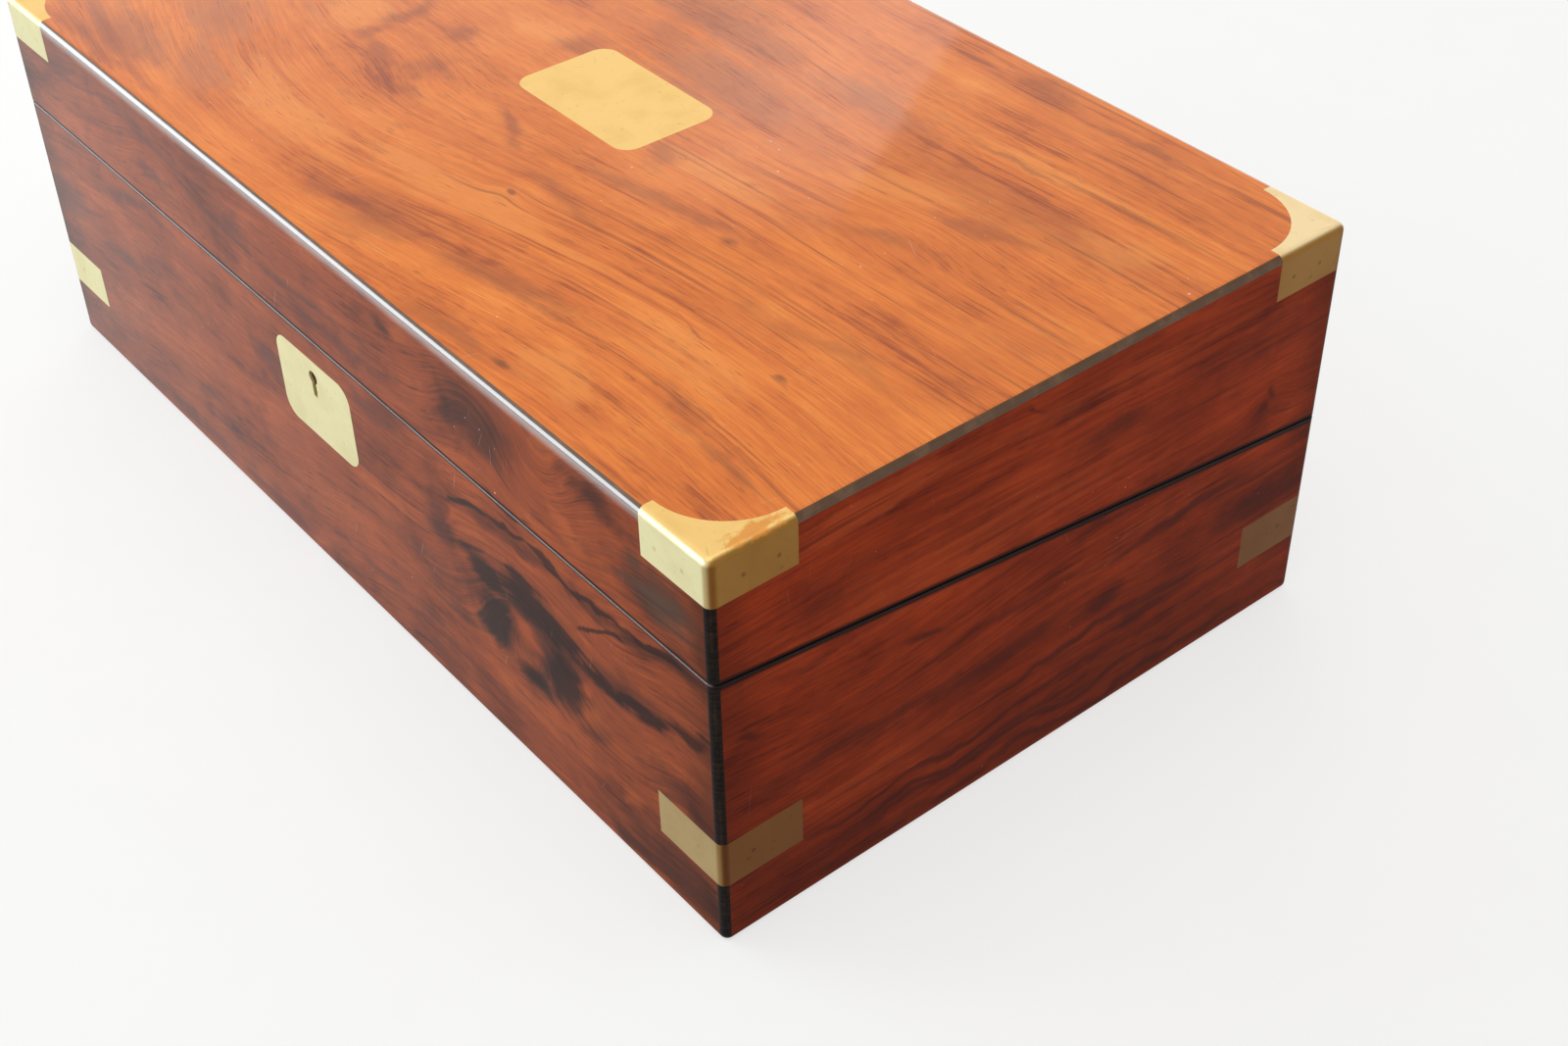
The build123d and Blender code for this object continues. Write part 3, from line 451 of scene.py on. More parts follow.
FRONT_BENDS = (
    (112, 60, 34, 22, 0.0, 30), (28, 44, 52, 26, 0.0, 9), (156, 86, 20, 10, 0.0, -7),
    (190, 60, 30, 24, 0.0, 12), (128, 122, 22, 20, 0.4, -16), (95, 126, 22, 20, 0.0, 12),
    (60, 20, 60, 16, 0.0, 6), (-120, 70, 90, 50, 0.0, 10), (-95, 122, 40, 14, -0.2, 8),
)
FRONT_SHADES = (
    (tint(196, 100, 50), 0.5, (0.25, 0.9), (
        (145, 51, 9, 8, 0.8), (163, 27, 8, 4, 0.0), (130, 135, 10, 5, 0.0), (136, 113, 13, 6, -0.4),
        (-160, 82, 34, 4, 0.12, 0.8), (70, 100, 22, 4, 0.2, 0.7), (40, 60, 40, 12, 0.1, 0.7),
        (88, 78, 16, 4, 0.7, 0.8), (-20, 30, 50, 12, 0.1, 0.7), (-110, 40, 50, 12, 0.1, 0.6))),
    (tint(88, 52, 48), 0.6, (0.15, 0.95), (
        (-108, 130, 34, 6, -0.15, 0.8), (-100, 112, 22, 4, -0.1, 0.8), (-48, 121, 16, 7, 0.2, 0.8),
        (-190, 65, 22, 8, 0.2), (-150, 62, 34, 5, 0.2, 0.8), (-130, 92, 34, 4, 0.1, 0.8),
        (-35, 75, 12, 6, 0.3), (20, 112, 60, 9, 0.05, 0.6),
        (35, 94, 14, 7, 0.0, 0.8), (70, 72, 14, 14, 0.0, 0.7), (-80, 8, 80, 6, 0.0, 0.7),
        (-168, 130, 30, 8, -0.1, 0.7), (10, 20, 60, 3, 0.1, 0.6), (62, 48, 26, 14, 0.2, 0.5))),
    (tint(58, 34, 30), 0.8, (0.1, 1.0), (
        (99, 125, 22, 14, 0.2), (186, 11, 34, 12, -0.1), (187, 45, 18, 8, 0.0), (154, 133, 22, 6, 0.0),
        (182, 118, 20, 12, 0.3), (53, 131, 7, 4, 0.0), (190, 100, 18, 6, -0.3, 0.8),
        (160, 8, 26, 6, 0.0, 0.8),
        (146, 40, 10, 5, 0.5, 0.7), (114, 36, 18, 8, 0.0, 0.8), (84, 122, 8, 12, 0.0, 0.8))),
    (tint(70, 36, 30), 0.8, (0.1, 0.9), (
        (114, 58, 38, 24, 0.1, 0.8), (104, 88, 34, 4, 0.1, 0.7), (160, 68, 34, 6, 0.15, 0.8),
        (168, 92, 30, 4, 0.15, 0.7), (72, 70, 12, 12, 0.4, 0.7))),
    # painted reflection: a greyish haze near the right-hand corner of the lid front
    (tint(96, 80, 66), 0.55, (0.1, 1.0), ((185, 116, 18, 13, 0.0, 0.9),)),
    (tint(186, 88, 44), 0.7, (0.2, 0.9), (
        (112, 54, 6, 6, 0.4), (142, 56, 7, 3, 0.6), (82, 78, 12, 2.4, 0.7, 0.8),
        (118, 85, 18, 2.2, -0.1, 0.9),
        (128, 79, 14, 1.4, -0.3, 0.7))),
    (tint(30, 20, 20), 0.85, (0.22, 0.85), (
        (119, 69.5, 24, 10, 0.0), (94, 66, 16, 6.5, -0.1), (97, 50, 11, 11, 0.2), (131, 50, 12, 11, -0.2),
        (113, 76, 12, 4, 0.0), (114, 38, 14, 5, 0.0, 0.8))),
    (tint(36, 22, 20), 0.8, (0.25, 0.8), (
        (86, 85.5, 9, 1.5, 0.7), (104, 93, 15, 1.5, 0.2), (127, 92, 13, 1.4, -0.3),
        (151, 91, 15, 1.3, 0.1), (177, 96, 15, 1.5, 0.15), (152, 82, 15, 1.1, 0.4), (150, 65, 13, 2.6, 0.12),
        (170, 67.5, 13, 2.8, 0.1), (191, 74, 13, 3.2, 0.35), (107, 101, 14, 1.1, 0.1, 0.9))),
)
FRONT_RAMP = ((0.2, tint(96, 44, 28)), (0.45, tint(150, 72, 40)), (0.68, tint(176, 86, 44)),
              (0.9, tint(198, 102, 52)))

END_BENDS = (
    (-64, 66, 56, 20, 0.0, -9), (10, 52, 70, 14, 0.0, 4), (70, 44, 40, 12, 0.0, -3), (95, 88, 9, 7, 0.0, 5),
    (-60, 128, 60, 18, 0.0, 4),
)
END_SHADES = (
    (tint(178, 76, 36), 0.45, (0.2, 0.95), (
        (-65, 133, 34, 6, 0.0), (-40, 100, 90, 14, 0.0, 0.7), (20, 128, 70, 8, 0.0, 0.6),
        (-60, 36, 50, 4, 0.0, 0.7),
        (40, 66, 40, 5, 0.05, 0.6))),
    (tint(72, 27, 18), 0.75, (0.15, 0.95), (
        (-50, 50, 76, 4.5, 0.0, 0.8), (60, 62, 30, 3.0, 0.05), (20, 36, 60, 2.4, 0.03, 0.9),
        (-30, 17, 60, 2, 0.0), (28, 45, 18, 5, 0.0), (47, 32, 18, 3, 0.1), (98, 49, 30, 8, 0.0),
        (-20, 24, 120, 1.8, 0.0, 0.8), (0, 14, 120, 2.2, 0.0, 0.8), (10, 6, 120, 2.4, 0.0, 0.8),
        (-109, 75, 7, 2.6, -0.2), (-47, 77, 9, 1.8, -0.1), (25, 111, 24, 6, 0.0, 0.7),
        (90, 112, 40, 10, 0.0, 0.6),
        (91, 85.6, 4.5, 3.6, 0.5), (97, 91, 4.5, 2.2, -0.4, 0.8), (-9, 136, 6, 1.4, -0.6, 0.8),
        (-80, 90, 34, 2.4, 0.0, 0.6), (0, 64, 60, 2, 0.0, 0.5),
        (-84, 112, 22, 12, 0.0, 0.5), (62, 46, 26, 16, 0.0, 0.4))),
)
END_RAMP = ((0.2, tint(96, 31, 13)), (0.45, tint(136, 47, 17)), (0.68, tint(156, 56, 21)),
            (0.92, tint(178, 70, 29)))


def make_veneers():
    top = veneer("polished_top_veneer", "top", seed=3.3, slope=0.03, bends=TOP_BENDS, wave=7, ripple=1.6,
                 ramp=TOP_RAMP, shades=TOP_SHADES, line_hue=tint(128, 58, 26), line_depth=0.55,
                 coat=(1.0, 1.0), calm=(-70, 60, 0.35), contrast=0.8)
    front = veneer("polished_front_veneer", "front", seed=7.9, slope=0.1, bends=FRONT_BENDS, wave=8,
                   ripple=2.0, ramp=FRONT_RAMP, shades=FRONT_SHADES, line_hue=tint(60, 32, 26),
                   line_depth=0.35, coat=(0.6, 0.05), calm=(-40, 70, 0.4), contrast=0.55, figured=0.45,
                   clouded=0.65)
    end = veneer("polished_end_veneer", "end", seed=12.4, slope=0.0, bends=END_BENDS, wave=4, ripple=1.2,
                 ramp=END_RAMP, shades=END_SHADES, line_hue=tint(72, 26, 15), line_depth=0.5,
                 coat=(0.05, 0.05), calm=(-400, -300, 1.0), contrast=0.65, marks_depth=0.12, figured=0.45,
                 clouded=0.4)
    return {"top": top, "front": front, "end": end}


# ---------------------------------------------------------------- ebony, brass and the rest
def make_ebony():
    """Dark stringing, rubbed brown on top and polished hard along the long sides, with a painted pale sheen
    below the top arris there.
    """
    b = finish("polished_ebony")
    _, y, z = b.parts(b.place)
    fibre = b.noise(b.vector("MULTIPLY", b.place, (60, 60, 900)), 1.0, 3.0)
    run = b.noise(b.vector("MULTIPLY", b.place, (40, 900, 900)), 1.0, 3.0)
    upper = b.fit(z, HEIGHT - 0.004, HEIGHT - 0.0033)
    streak = b.fit(b.sum("MAXIMUM", fibre, run), 0.45, 0.8)
    colour = b.blend(streak, tint(13, 8, 5), tint(46, 28, 18))
    rubbed = b.fit(b.noise(b.place, 160.0, 4.0), 0.4, 0.7)
    colour = b.blend(b.sum("MULTIPLY", upper, b.fit(rubbed, 0, 1, 0.7, 1.0)), colour, tint(112, 84, 62))
    worn = b.use("edge_wear", Place=b.place, Width=0.0012)["Worn"]
    colour = b.blend(b.sum("MULTIPLY", worn, 0.35), colour, tint(92, 66, 50))
    height = b.sum("MULTIPLY", streak, 0.4)
    bump = b.add("Bump", {"Strength": 0.1, "Distance": 0.0002, "Height": height}).outputs[0]
    long_side = near_side(b, y, HALF_DEPTH, 0.0034, 0.0026)
    film = b.sum("MULTIPLY", upper, b.fit(long_side, 0, 1, 0.12, 1.0))
    # painted sheen: on the long sides a pale band just under the top arris, below the coat's own highlight
    pale = b.sum("MULTIPLY", b.sum("MULTIPLY", upper, long_side),
                 b.fit(z, HEIGHT - 0.0022, HEIGHT - 0.0014, 0.7, 0.0))
    colour = b.blend(pale, colour, tint(176, 166, 164))
    set_shader(b, Base_Color=colour, Roughness=b.fit(streak, 0, 1, 0.28, 0.42), Normal=bump,
               Specular_IOR_Level=0.05, Coat_Weight=b.sum("MAXIMUM", film, 0.015), Coat_Roughness=0.08,
               Coat_IOR=2.0)
    return b.material


def make_brass(name, top, front, end, tarnish, rough):
    """Brass with painted light: bright above, lighter at the front with a painted reflection, lighter towards
    the rear of the tops with painted glare, and darker at the ends with painted shade.
    """
    b = finish(name)
    x, y, z = b.parts(b.place)
    # painted reflection: the front faces take the lighter front colour; painted glare: the tops lighten
    # towards the rear
    facing = near_side(b, y, HALF_DEPTH, 0.0016, 0.0004)
    painted_rear_glare = b.sum("MULTIPLY", b.fit(y, 0.07, 0.1), 0.8)
    colour = b.blend(facing, b.blend(painted_rear_glare, top, tuple(v ** 0.5 for v in top)), front)
    # painted shade: the end faces take the darker end colour
    ending = near_side(b, x, HALF_LENGTH, 0.0016, 0.0004)
    colour = b.blend(ending, colour, end)
    shaded = b.sum("MULTIPLY", b.fit(x, -0.15, -0.12, 1.0, 0.0), b.fit(z, 0.1, 0.11))
    shaded = b.sum("MULTIPLY", facing, shaded)
    colour = b.blend(shaded, colour, b.vector("MULTIPLY", colour, (0.8, 0.8, 0.78)))
    # painted shade: the right-hand brass darkened low down
    painted_low_right_shade = b.sum("MULTIPLY", b.fit(x, 0.08, 0.12), b.fit(z, 0.045, 0.05, 1.0, 0.0))
    colour = b.blend(painted_low_right_shade, colour, b.vector("MULTIPLY", colour, (0.57, 0.43, 0.31)))
    stain = b.sum("MULTIPLY", soft(b, b.place, 201, -103, 3.4, 13), b.fit(z, 0.1405, 0.1415))
    blot = b.noise(b.vector("MULTIPLY", b.place, (2.2, 1.0, 1.0)), 240.0, 4.0, 0.65)
    stain = b.sum("MULTIPLY_ADD", b.sum("SUBTRACT", blot, 0.5), 1.6, stain)
    colour = b.blend(b.sum("MULTIPLY", b.fit(stain, 0.4, 0.8), 0.75), colour, (0.82, 0.30, 0.05))
    arris = b.sum("MULTIPLY", near_side(b, x, HALF_LENGTH, 0.0032, 0.0016),
                  near_side(b, y, HALF_DEPTH, 0.0032, 0.0016))
    arris = b.sum("MULTIPLY", arris, b.fit(z, HEIGHT - 0.0026, HEIGHT - 0.0012, 0.75, 0.0))
    colour = b.blend(arris, colour, b.vector("MULTIPLY", colour, (0.5, 0.34, 0.2)))
    dull = b.vector("MULTIPLY", colour, (0.72, 0.62, 0.5))
    cloud = b.noise(b.place, 55.0, 5.0, 0.6, 0.3)
    low = b.sum("MULTIPLY", ending, b.fit(z, HEIGHT - 0.0157, HEIGHT - 0.004, 1.0, 0.0))
    cloud = b.sum("MULTIPLY_ADD", low, 0.12, cloud)
    spots = b.fit(b.noise(b.vector("ADD", b.place, (4, 2, 1)), 420.0, 2.0), 0.64, 0.76)
    rub = b.noise(b.vector("MULTIPLY", b.place, (260, 260, 2400)), 1.0, 2.0)
    colour = b.blend(b.sum("MULTIPLY", b.fit(cloud, 0.42, 0.72), tarnish), colour, dull)
    marks = b.use("small_marks", Place=b.place)
    blemish = b.sum("MAXIMUM", b.sum("MULTIPLY", spots, 0.4 * tarnish),
                    b.sum("MULTIPLY", marks["Scratches"], 0.4))
    colour = b.blend(blemish, colour, (0.10, 0.06, 0.02))
    roughness = b.sum("MULTIPLY_ADD", cloud, 0.16, rough)
    roughness = b.sum("MULTIPLY_ADD", spots, 0.2, roughness)
    height = b.sum("SUBTRACT", b.sum("MULTIPLY", rub, 0.25), b.sum("ADD", spots, marks["Scratches"]))
    bump = b.add("Bump", {"Strength": 0.18, "Distance": 0.0001, "Height": height}).outputs[0]
    set_shader(b, Base_Color=colour, Metallic=0.55, Roughness=roughness, Normal=bump,
               Specular_IOR_Level=0.1)
    return b.material


def make_carcass(name, face):
    """The plain polished wood of the boards, with its grain along the given face."""
    b = finish(name)
    place = face_place(b, face)
    course = bend_grain(b, place, 0.02, (), 7, 1.5, 21.0)
    grain = b.use("grain", Place=place, Course=course, Seed=21.0)
    tone = b.sum("ADD", b.sum("MULTIPLY", grain["Band"], 0.6), b.sum("MULTIPLY", grain["Fibre"], 0.35))
    colour = b.ramp(tone, (0.15, tint(92, 48, 28)), (0.5, tint(126, 68, 40)), (0.85, tint(150, 86, 52)))
    colour = b.blend(b.sum("MULTIPLY", grain["Line"], 0.5), colour, tint(64, 32, 20))
    colour = b.blend(b.sum("MULTIPLY", grain["Pores"], 0.5), colour, tint(40, 20, 14))
    height = b.sum("SUBTRACT", b.sum("MULTIPLY", grain["Fibre"], 0.4), grain["Pores"])
    bump = b.add("Bump", {"Strength": 0.25, "Distance": 0.0002, "Height": height}).outputs[0]
    set_shader(b, Base_Color=colour, Roughness=b.fit(grain["Fibre"], 0, 1, 0.36, 0.5), Normal=bump,
               Specular_IOR_Level=0.4)
    return b.material


def make_leather(name, node):
    """Writing leather with a gilt line and a blind line tooled inside its edge."""
    b = finish(name)
    low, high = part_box(node)
    x, y, _ = b.parts(b.place)
    side = b.sum("SUBTRACT", high[0], b.sum("ABSOLUTE", x))
    ends = b.sum("MINIMUM", b.sum("SUBTRACT", y, low[1]), b.sum("SUBTRACT", high[1], y))
    edge = b.sum("MINIMUM", side, ends)
    rubbed = b.fit(b.noise(b.place, 130.0, 4.0, 0.65), 0.3, 0.5, 0.25, 1.0)

    def tooled(inset, width):
        away = b.sum("ABSOLUTE", b.sum("SUBTRACT", edge, inset * MM))
        return b.fit(away, 0.4 * width * MM, 0.6 * width * MM, 1.0, 0.0)

    gilt = b.sum("MULTIPLY", b.sum("MAXIMUM", tooled(6.0, 1.0), tooled(8.2, 0.4)), rubbed)
    blind = tooled(3.4, 0.8)
    cells = b.add("TexVoronoi", {"Vector": b.place, "Scale": 1400.0}, feature="DISTANCE_TO_EDGE").outputs[0]
    pebble = b.fit(cells, 0.0, 0.35)
    cloud = b.noise(b.place, 22.0, 5.0, 0.65)
    colour = b.ramp(cloud, (0.28, tint(24, 44, 32)), (0.52, tint(38, 62, 44)), (0.78, tint(66, 90, 60)))
    colour = b.blend(b.sum("MULTIPLY", b.sum("SUBTRACT", 1.0, pebble), 0.35), colour, tint(18, 30, 22))
    worn = b.fit(b.noise(b.vector("ADD", b.place, (2, 0, 0)), 9.0, 5.0, 0.7), 0.52, 0.7)
    colour = b.blend(b.sum("MULTIPLY", worn, 0.35), colour, tint(104, 112, 78))
    ink = b.fit(b.noise(b.vector("ADD", b.place, (5, 5, 0)), 64.0, 2.0), 0.76, 0.8)
    colour = b.blend(b.sum("MULTIPLY", ink, 0.8), colour, tint(14, 16, 26))
    colour = b.blend(b.sum("MULTIPLY", blind, 0.6), colour, tint(14, 26, 19))
    colour = b.blend(gilt, colour, (0.80, 0.55, 0.20))
    height = b.sum("SUBTRACT", pebble, b.sum("MULTIPLY", b.sum("MAXIMUM", gilt, blind), 2.0))
    bump = b.add("Bump", {"Strength": 0.3, "Distance": 0.0002, "Height": height}).outputs[0]
    set_shader(b, Base_Color=colour, Metallic=b.sum("MULTIPLY", gilt, 0.9), Normal=bump,
               Roughness=b.fit(cloud, 0.3, 0.7, 0.42, 0.58), Specular_IOR_Level=0.4)
    return b.material


def make_glass():
    b = finish("bottle_glass")
    cloud = b.noise(b.place, 60.0, 3.0)
    bump = b.add("Bump", {"Strength": 0.05, "Distance": 0.0005, "Height": cloud}).outputs[0]
    colour = b.blend(b.fit(cloud, 0.3, 0.7), (0.90, 0.97, 0.94), (0.82, 0.93, 0.89))
    set_shader(b, Base_Color=colour, Roughness=b.fit(cloud, 0.3, 0.7, 0.02, 0.06), Normal=bump,
               Transmission_Weight=1.0, IOR=1.5)
    return b.material


FITTING_BRASS = (0.80, 0.56, 0.22)


def dress(material, *nodes):
    for node in nodes:
        for slot in bpy.data.objects[node].material_slots:
            slot.material = material


def dress_box():
    veneers = make_veneers()
    ebony = make_ebony()
    # the inlaid brass and the pins take their colour by face as lit and shaded copies: the front copy lighter
    # as painted reflection, the end copy darker as painted shade, and the inlaid brass's top brightened as
    # painted light
    brass = make_brass("inlaid_brass", top=(1.0, 0.66, 0.23), front=(0.75, 0.70, 0.40),
                       end=(0.29, 0.14, 0.026), tarnish=0.3, rough=0.33)
    pins = make_brass("brass_pin", top=(0.42, 0.28, 0.11), front=(0.66, 0.59, 0.32),
                      end=(0.2, 0.085, 0.018), tarnish=0.5, rough=0.35)
    fittings = make_brass("fitting_brass", top=FITTING_BRASS, front=FITTING_BRASS, end=FITTING_BRASS,
                          tarnish=0.7, rough=0.25)
    carcass = make_carcass("mahogany_long", "top")
    carcass_side = make_carcass("mahogany_upright", "front")
    carcass_end = make_carcass("mahogany_end", "end")
    dress(veneers["top"], "lid_top_veneer")
    dress(veneers["front"], "lid_front_veneer", "base_front_veneer", "lid_back_veneer", "base_back_veneer")
    dress(veneers["end"], "lid_left_end_veneer", "lid_right_end_veneer", "base_left_end_veneer",
          "base_right_end_veneer")
    dress(ebony, "base_corner_stringing", "lid_stringing")
    dress(brass, "base_corner_straps", "lid_corner_caps", "nameplate", "lock_escutcheon")
    dress(pins, "base_strap_pins", "lid_cap_pins")
    dress(fittings, "lock_case", "lock_cap", "lock_bolt", "lock_link_plate", "lock_link_loops",
          "base_hinge_leaves", "lid_hinge_leaves", "main_hinge_pins", "base_rim_screws", "lid_rim_screws",
          "base_flap_hinge_leaves", "base_flap_wall_leaves", "base_flap_hinge_pins",
          "lid_flap_hinge_leaves", "lid_flap_wall_leaves", "lid_flap_hinge_pins")
    dress(carcass, "base_bottom_board", "lid_top_board", "base_flap_board", "lid_flap_board", "pen_tray",
          "pen_compartment_floor")
    dress(carcass_side, "base_front_board", "base_back_board", "lid_front_board", "lid_back_board",
          "pen_partition")
    dress(carcass_end, "base_left_end_board", "base_right_end_board", "lid_left_end_board",
          "lid_right_end_board", "ink_divider_left", "ink_divider_right", "pen_tray_rests",
          "base_flap_ledges", "lid_flap_ledges")
    for body in ("base", "lid"):
        leather = body + "_writing_leather"
        dress(make_leather(body + "_green_skiver", leather), leather)
    dress(make_glass(), "ink_bottle_left", "ink_bottle_right")
    return fittings


# ---------------------------------------------------------------- ink caps and ink
RIB_HEIGHT = 0.00045
CAP_RIBS = 44
CAP_BORE = 0.0092
# the top's steps from its rim inwards: how far in, and how far up as a share of the cap's height
CAP_STEPS = ((0.0006, 0.10), (0.0020, -0.05), (0.0016, 0.02), (0.0012, 0.09))
BOTTLE_WALL = 0.005
INK_DEPTH = 0.019
MENISCUS = 0.0007


def pick_faces(piece, wanted):
    """Leaves edit mode's selection on the faces that the test accepts."""
    bpy.ops.object.mode_set(mode="EDIT")
    bpy.ops.mesh.select_mode(type="FACE")
    bpy.ops.mesh.select_all(action="DESELECT")
    bpy.ops.object.mode_set(mode="OBJECT")
    for face in piece.data.polygons:
        face.select = wanted(face)
    bpy.ops.object.mode_set(mode="EDIT")


def place_in_mesh(piece):
    """Leaves the piece at the origin, unturned and unscaled, with its shape where it was."""
    bpy.ops.object.select_all(action="DESELECT")
    piece.select_set(True)
    bpy.context.view_layer.objects.active = piece
    bpy.ops.object.transform_apply(location=True, rotation=True, scale=True)


def make_ink_cap(node, name):
    """A turned brass cap: ribbed grip, stepped and domed top, open underneath for the bottle's neck."""
    low, high = (Vector(corner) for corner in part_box(node))
    centre = (low + high) / 2
    tall = high.z - low.z
    radius = (high.x - low.x) / 2
    bpy.ops.object.select_all(action="DESELECT")
    bpy.ops.mesh.primitive_cylinder_add(vertices=2 * CAP_RIBS, radius=radius - RIB_HEIGHT, depth=tall * 0.62,
                                        location=(centre.x, centre.y, low.z + tall * 0.41))
    cap = bpy.context.object
    cap.name = name
    place_in_mesh(cap)
    ribs = [face.index for face in cap.data.polygons if abs(face.normal.z) < 0.1]
    chosen = set(ribs[::2])
    pick_faces(cap, lambda face: face.index in chosen)
    bpy.ops.mesh.inset(thickness=0.00012, use_individual=True)
    bpy.ops.transform.shrink_fatten(value=RIB_HEIGHT)

    def at_axis(face, up):
        return (face.center.xy - centre.xy).length < 0.0001 and face.normal.z * up > 0.9

    pick_faces(cap, lambda face: at_axis(face, 1))
    bpy.ops.mesh.inset(thickness=0.0002)
    bpy.ops.mesh.extrude_region_move(TRANSFORM_OT_translate={"value": (0, 0, tall * 0.12)})
    for inward, rise in CAP_STEPS:
        bpy.ops.mesh.inset(thickness=inward)
        bpy.ops.transform.translate(value=(0, 0, tall * rise))
    pick_faces(cap, lambda face: at_axis(face, -1))
    bpy.ops.mesh.extrude_region_move(TRANSFORM_OT_translate={"value": (0, 0, -tall * 0.10)})
    bpy.ops.mesh.inset(thickness=radius - RIB_HEIGHT - CAP_BORE)
    bpy.ops.mesh.extrude_region_move(TRANSFORM_OT_translate={"value": (0, 0, tall * 0.74)})
    bpy.ops.object.mode_set(mode="OBJECT")
    return cap


def make_ink(node, name):
    """Ink standing in a bottle: rounded at its corners, and drawn up a little at the glass."""
    low, high = (Vector(corner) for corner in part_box(node))
    centre = (low + high) / 2
    wide = high.x - low.x - 2 * BOTTLE_WALL - 0.0002
    bpy.ops.object.select_all(action="DESELECT")
    foot = low.z + BOTTLE_WALL + 0.0001
    bpy.ops.mesh.primitive_cube_add(size=1, location=(centre.x, centre.y, foot + INK_DEPTH / 2))
    ink = bpy.context.object
    ink.name = name
    ink.scale = (wide, wide, INK_DEPTH)
    place_in_mesh(ink)
    bpy.ops.object.mode_set(mode="EDIT")
    bpy.ops.mesh.select_all(action="SELECT")
    bpy.ops.mesh.bevel(offset=0.0006, segments=2)
    pick_faces(ink, lambda face: face.normal.z > 0.99)
    bpy.ops.mesh.inset(thickness=0.0006)
    bpy.ops.transform.translate(value=(0, 0, -MENISCUS * 0.7))
    bpy.ops.mesh.inset(thickness=0.0014)
    bpy.ops.transform.translate(value=(0, 0, -MENISCUS * 0.3))
    bpy.ops.object.mode_set(mode="OBJECT")
    bpy.ops.object.shade_smooth_by_angle(angle=math.radians(50))
    return ink


def copy_across(piece, name, shift):
    """A copy with a mesh of its own, moved along the box."""
    twin = piece.copy()
    twin.data = piece.data.copy()
    twin.name = name
    bpy.context.collection.objects.link(twin)
    twin.data.transform(Matrix.Translation((shift, 0, 0)))
    return twin


def furnish_bottles(brass):
    ink_finish = make_ink_finish()
    left, right = (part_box("ink_bottle_" + side)[0][0] for side in ("left", "right"))
    cap = make_ink_cap("ink_cap_left", "ribbed_cap_left")
    bpy.ops.object.shade_smooth_by_angle(angle=math.radians(28))
    cap.data.materials.append(brass)
    ink = make_ink("ink_bottle_left", "ink_left")
    ink.data.materials.append(ink_finish)
    caps = {"left": cap, "right": copy_across(cap, "ribbed_cap_right", right - left)}
    inks = {"left": ink, "right": copy_across(ink, "ink_right", right - left)}
    for side in ("left", "right"):
        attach(caps[side], side + "_cap")
        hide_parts("ink_cap_" + side)
        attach(inks[side], side + "_bottle")


def make_ink_finish():
    b = finish("blue_black_ink")
    cloud = b.noise(b.place, 120.0, 3.0)
    colour = b.ramp(cloud, (0.3, tint(12, 13, 26)), (0.7, tint(22, 24, 44)))
    bump = b.add("Bump", {"Strength": 0.05, "Distance": 0.0003, "Height": cloud}).outputs[0]
    set_shader(b, Base_Color=colour, Roughness=b.fit(cloud, 0.3, 0.7, 0.04, 0.12), Normal=bump,
               Specular_IOR_Level=0.5)
    return b.material


# ---------------------------------------------------------------- the softened rim of the base
BEAD_RADIUS = 0.00045
BEAD_INSET = 0.00030
BEAD_CORNER = 0.0026


def make_rim_bead(material):
    """The base's upper arris, rubbed round: a hair-thin bead all the way round the joint."""
    bpy.ops.object.select_all(action="DESELECT")
    bpy.ops.mesh.primitive_plane_add(size=2, location=(0, 0, 0))
    rim = bpy.context.object
    rim.name = "base_rim_bead"
    bpy.ops.object.mode_set(mode="EDIT")
    bpy.ops.mesh.select_all(action="SELECT")
    bpy.ops.transform.resize(value=(HALF_LENGTH - BEAD_INSET, HALF_DEPTH - BEAD_INSET, 1),
                             center_override=(0, 0, 0))
    bpy.ops.mesh.bevel(offset=BEAD_CORNER, segments=6, affect="VERTICES")
    bpy.ops.mesh.delete(type="ONLY_FACE")
    bpy.ops.object.mode_set(mode="OBJECT")
    for vertex in rim.data.vertices:
        vertex.co.z = REAR_JOINT + JOINT_FALL * (HALF_DEPTH - vertex.co.y) - BEAD_INSET
    bpy.ops.object.convert(target="CURVE")
    rim.data.bevel_depth = BEAD_RADIUS
    rim.data.bevel_resolution = 3
    bpy.ops.object.convert(target="MESH")
    bpy.ops.object.shade_smooth()
    rim.data.materials.append(material)
    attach(rim, "base")


def make_bead_finish():
    b = finish("rubbed_rim")
    x = b.parts(b.place)[0]
    cloud = b.noise(b.vector("MULTIPLY", b.place, (1, 1, 4)), 70.0, 4.0, 0.6)
    long_side = near_side(b, x, HALF_LENGTH, 0.0018, 0.0006, 1.0, 0.0)
    colour = b.ramp(cloud, (0.3, tint(46, 28, 24)), (0.6, tint(84, 58, 50)), (0.8, tint(120, 92, 82)))
    colour = b.blend(long_side, tint(20, 13, 11), colour)
    bump = b.add("Bump", {"Strength": 0.1, "Distance": 0.0002, "Height": cloud}).outputs[0]
    film = b.sum("MULTIPLY", b.fit(cloud, 0.3, 0.7, 1.0, 0.7), long_side)
    set_shader(b, Base_Color=colour, Roughness=b.fit(cloud, 0.3, 0.7, 0.4, 0.55), Normal=bump,
               Specular_IOR_Level=0.1, Coat_Weight=film, Coat_Roughness=0.15, Coat_IOR=1.6)
    return b.material


# ---------------------------------------------------------------- floor and light
DAY = (0.86, 0.94, 1.0)


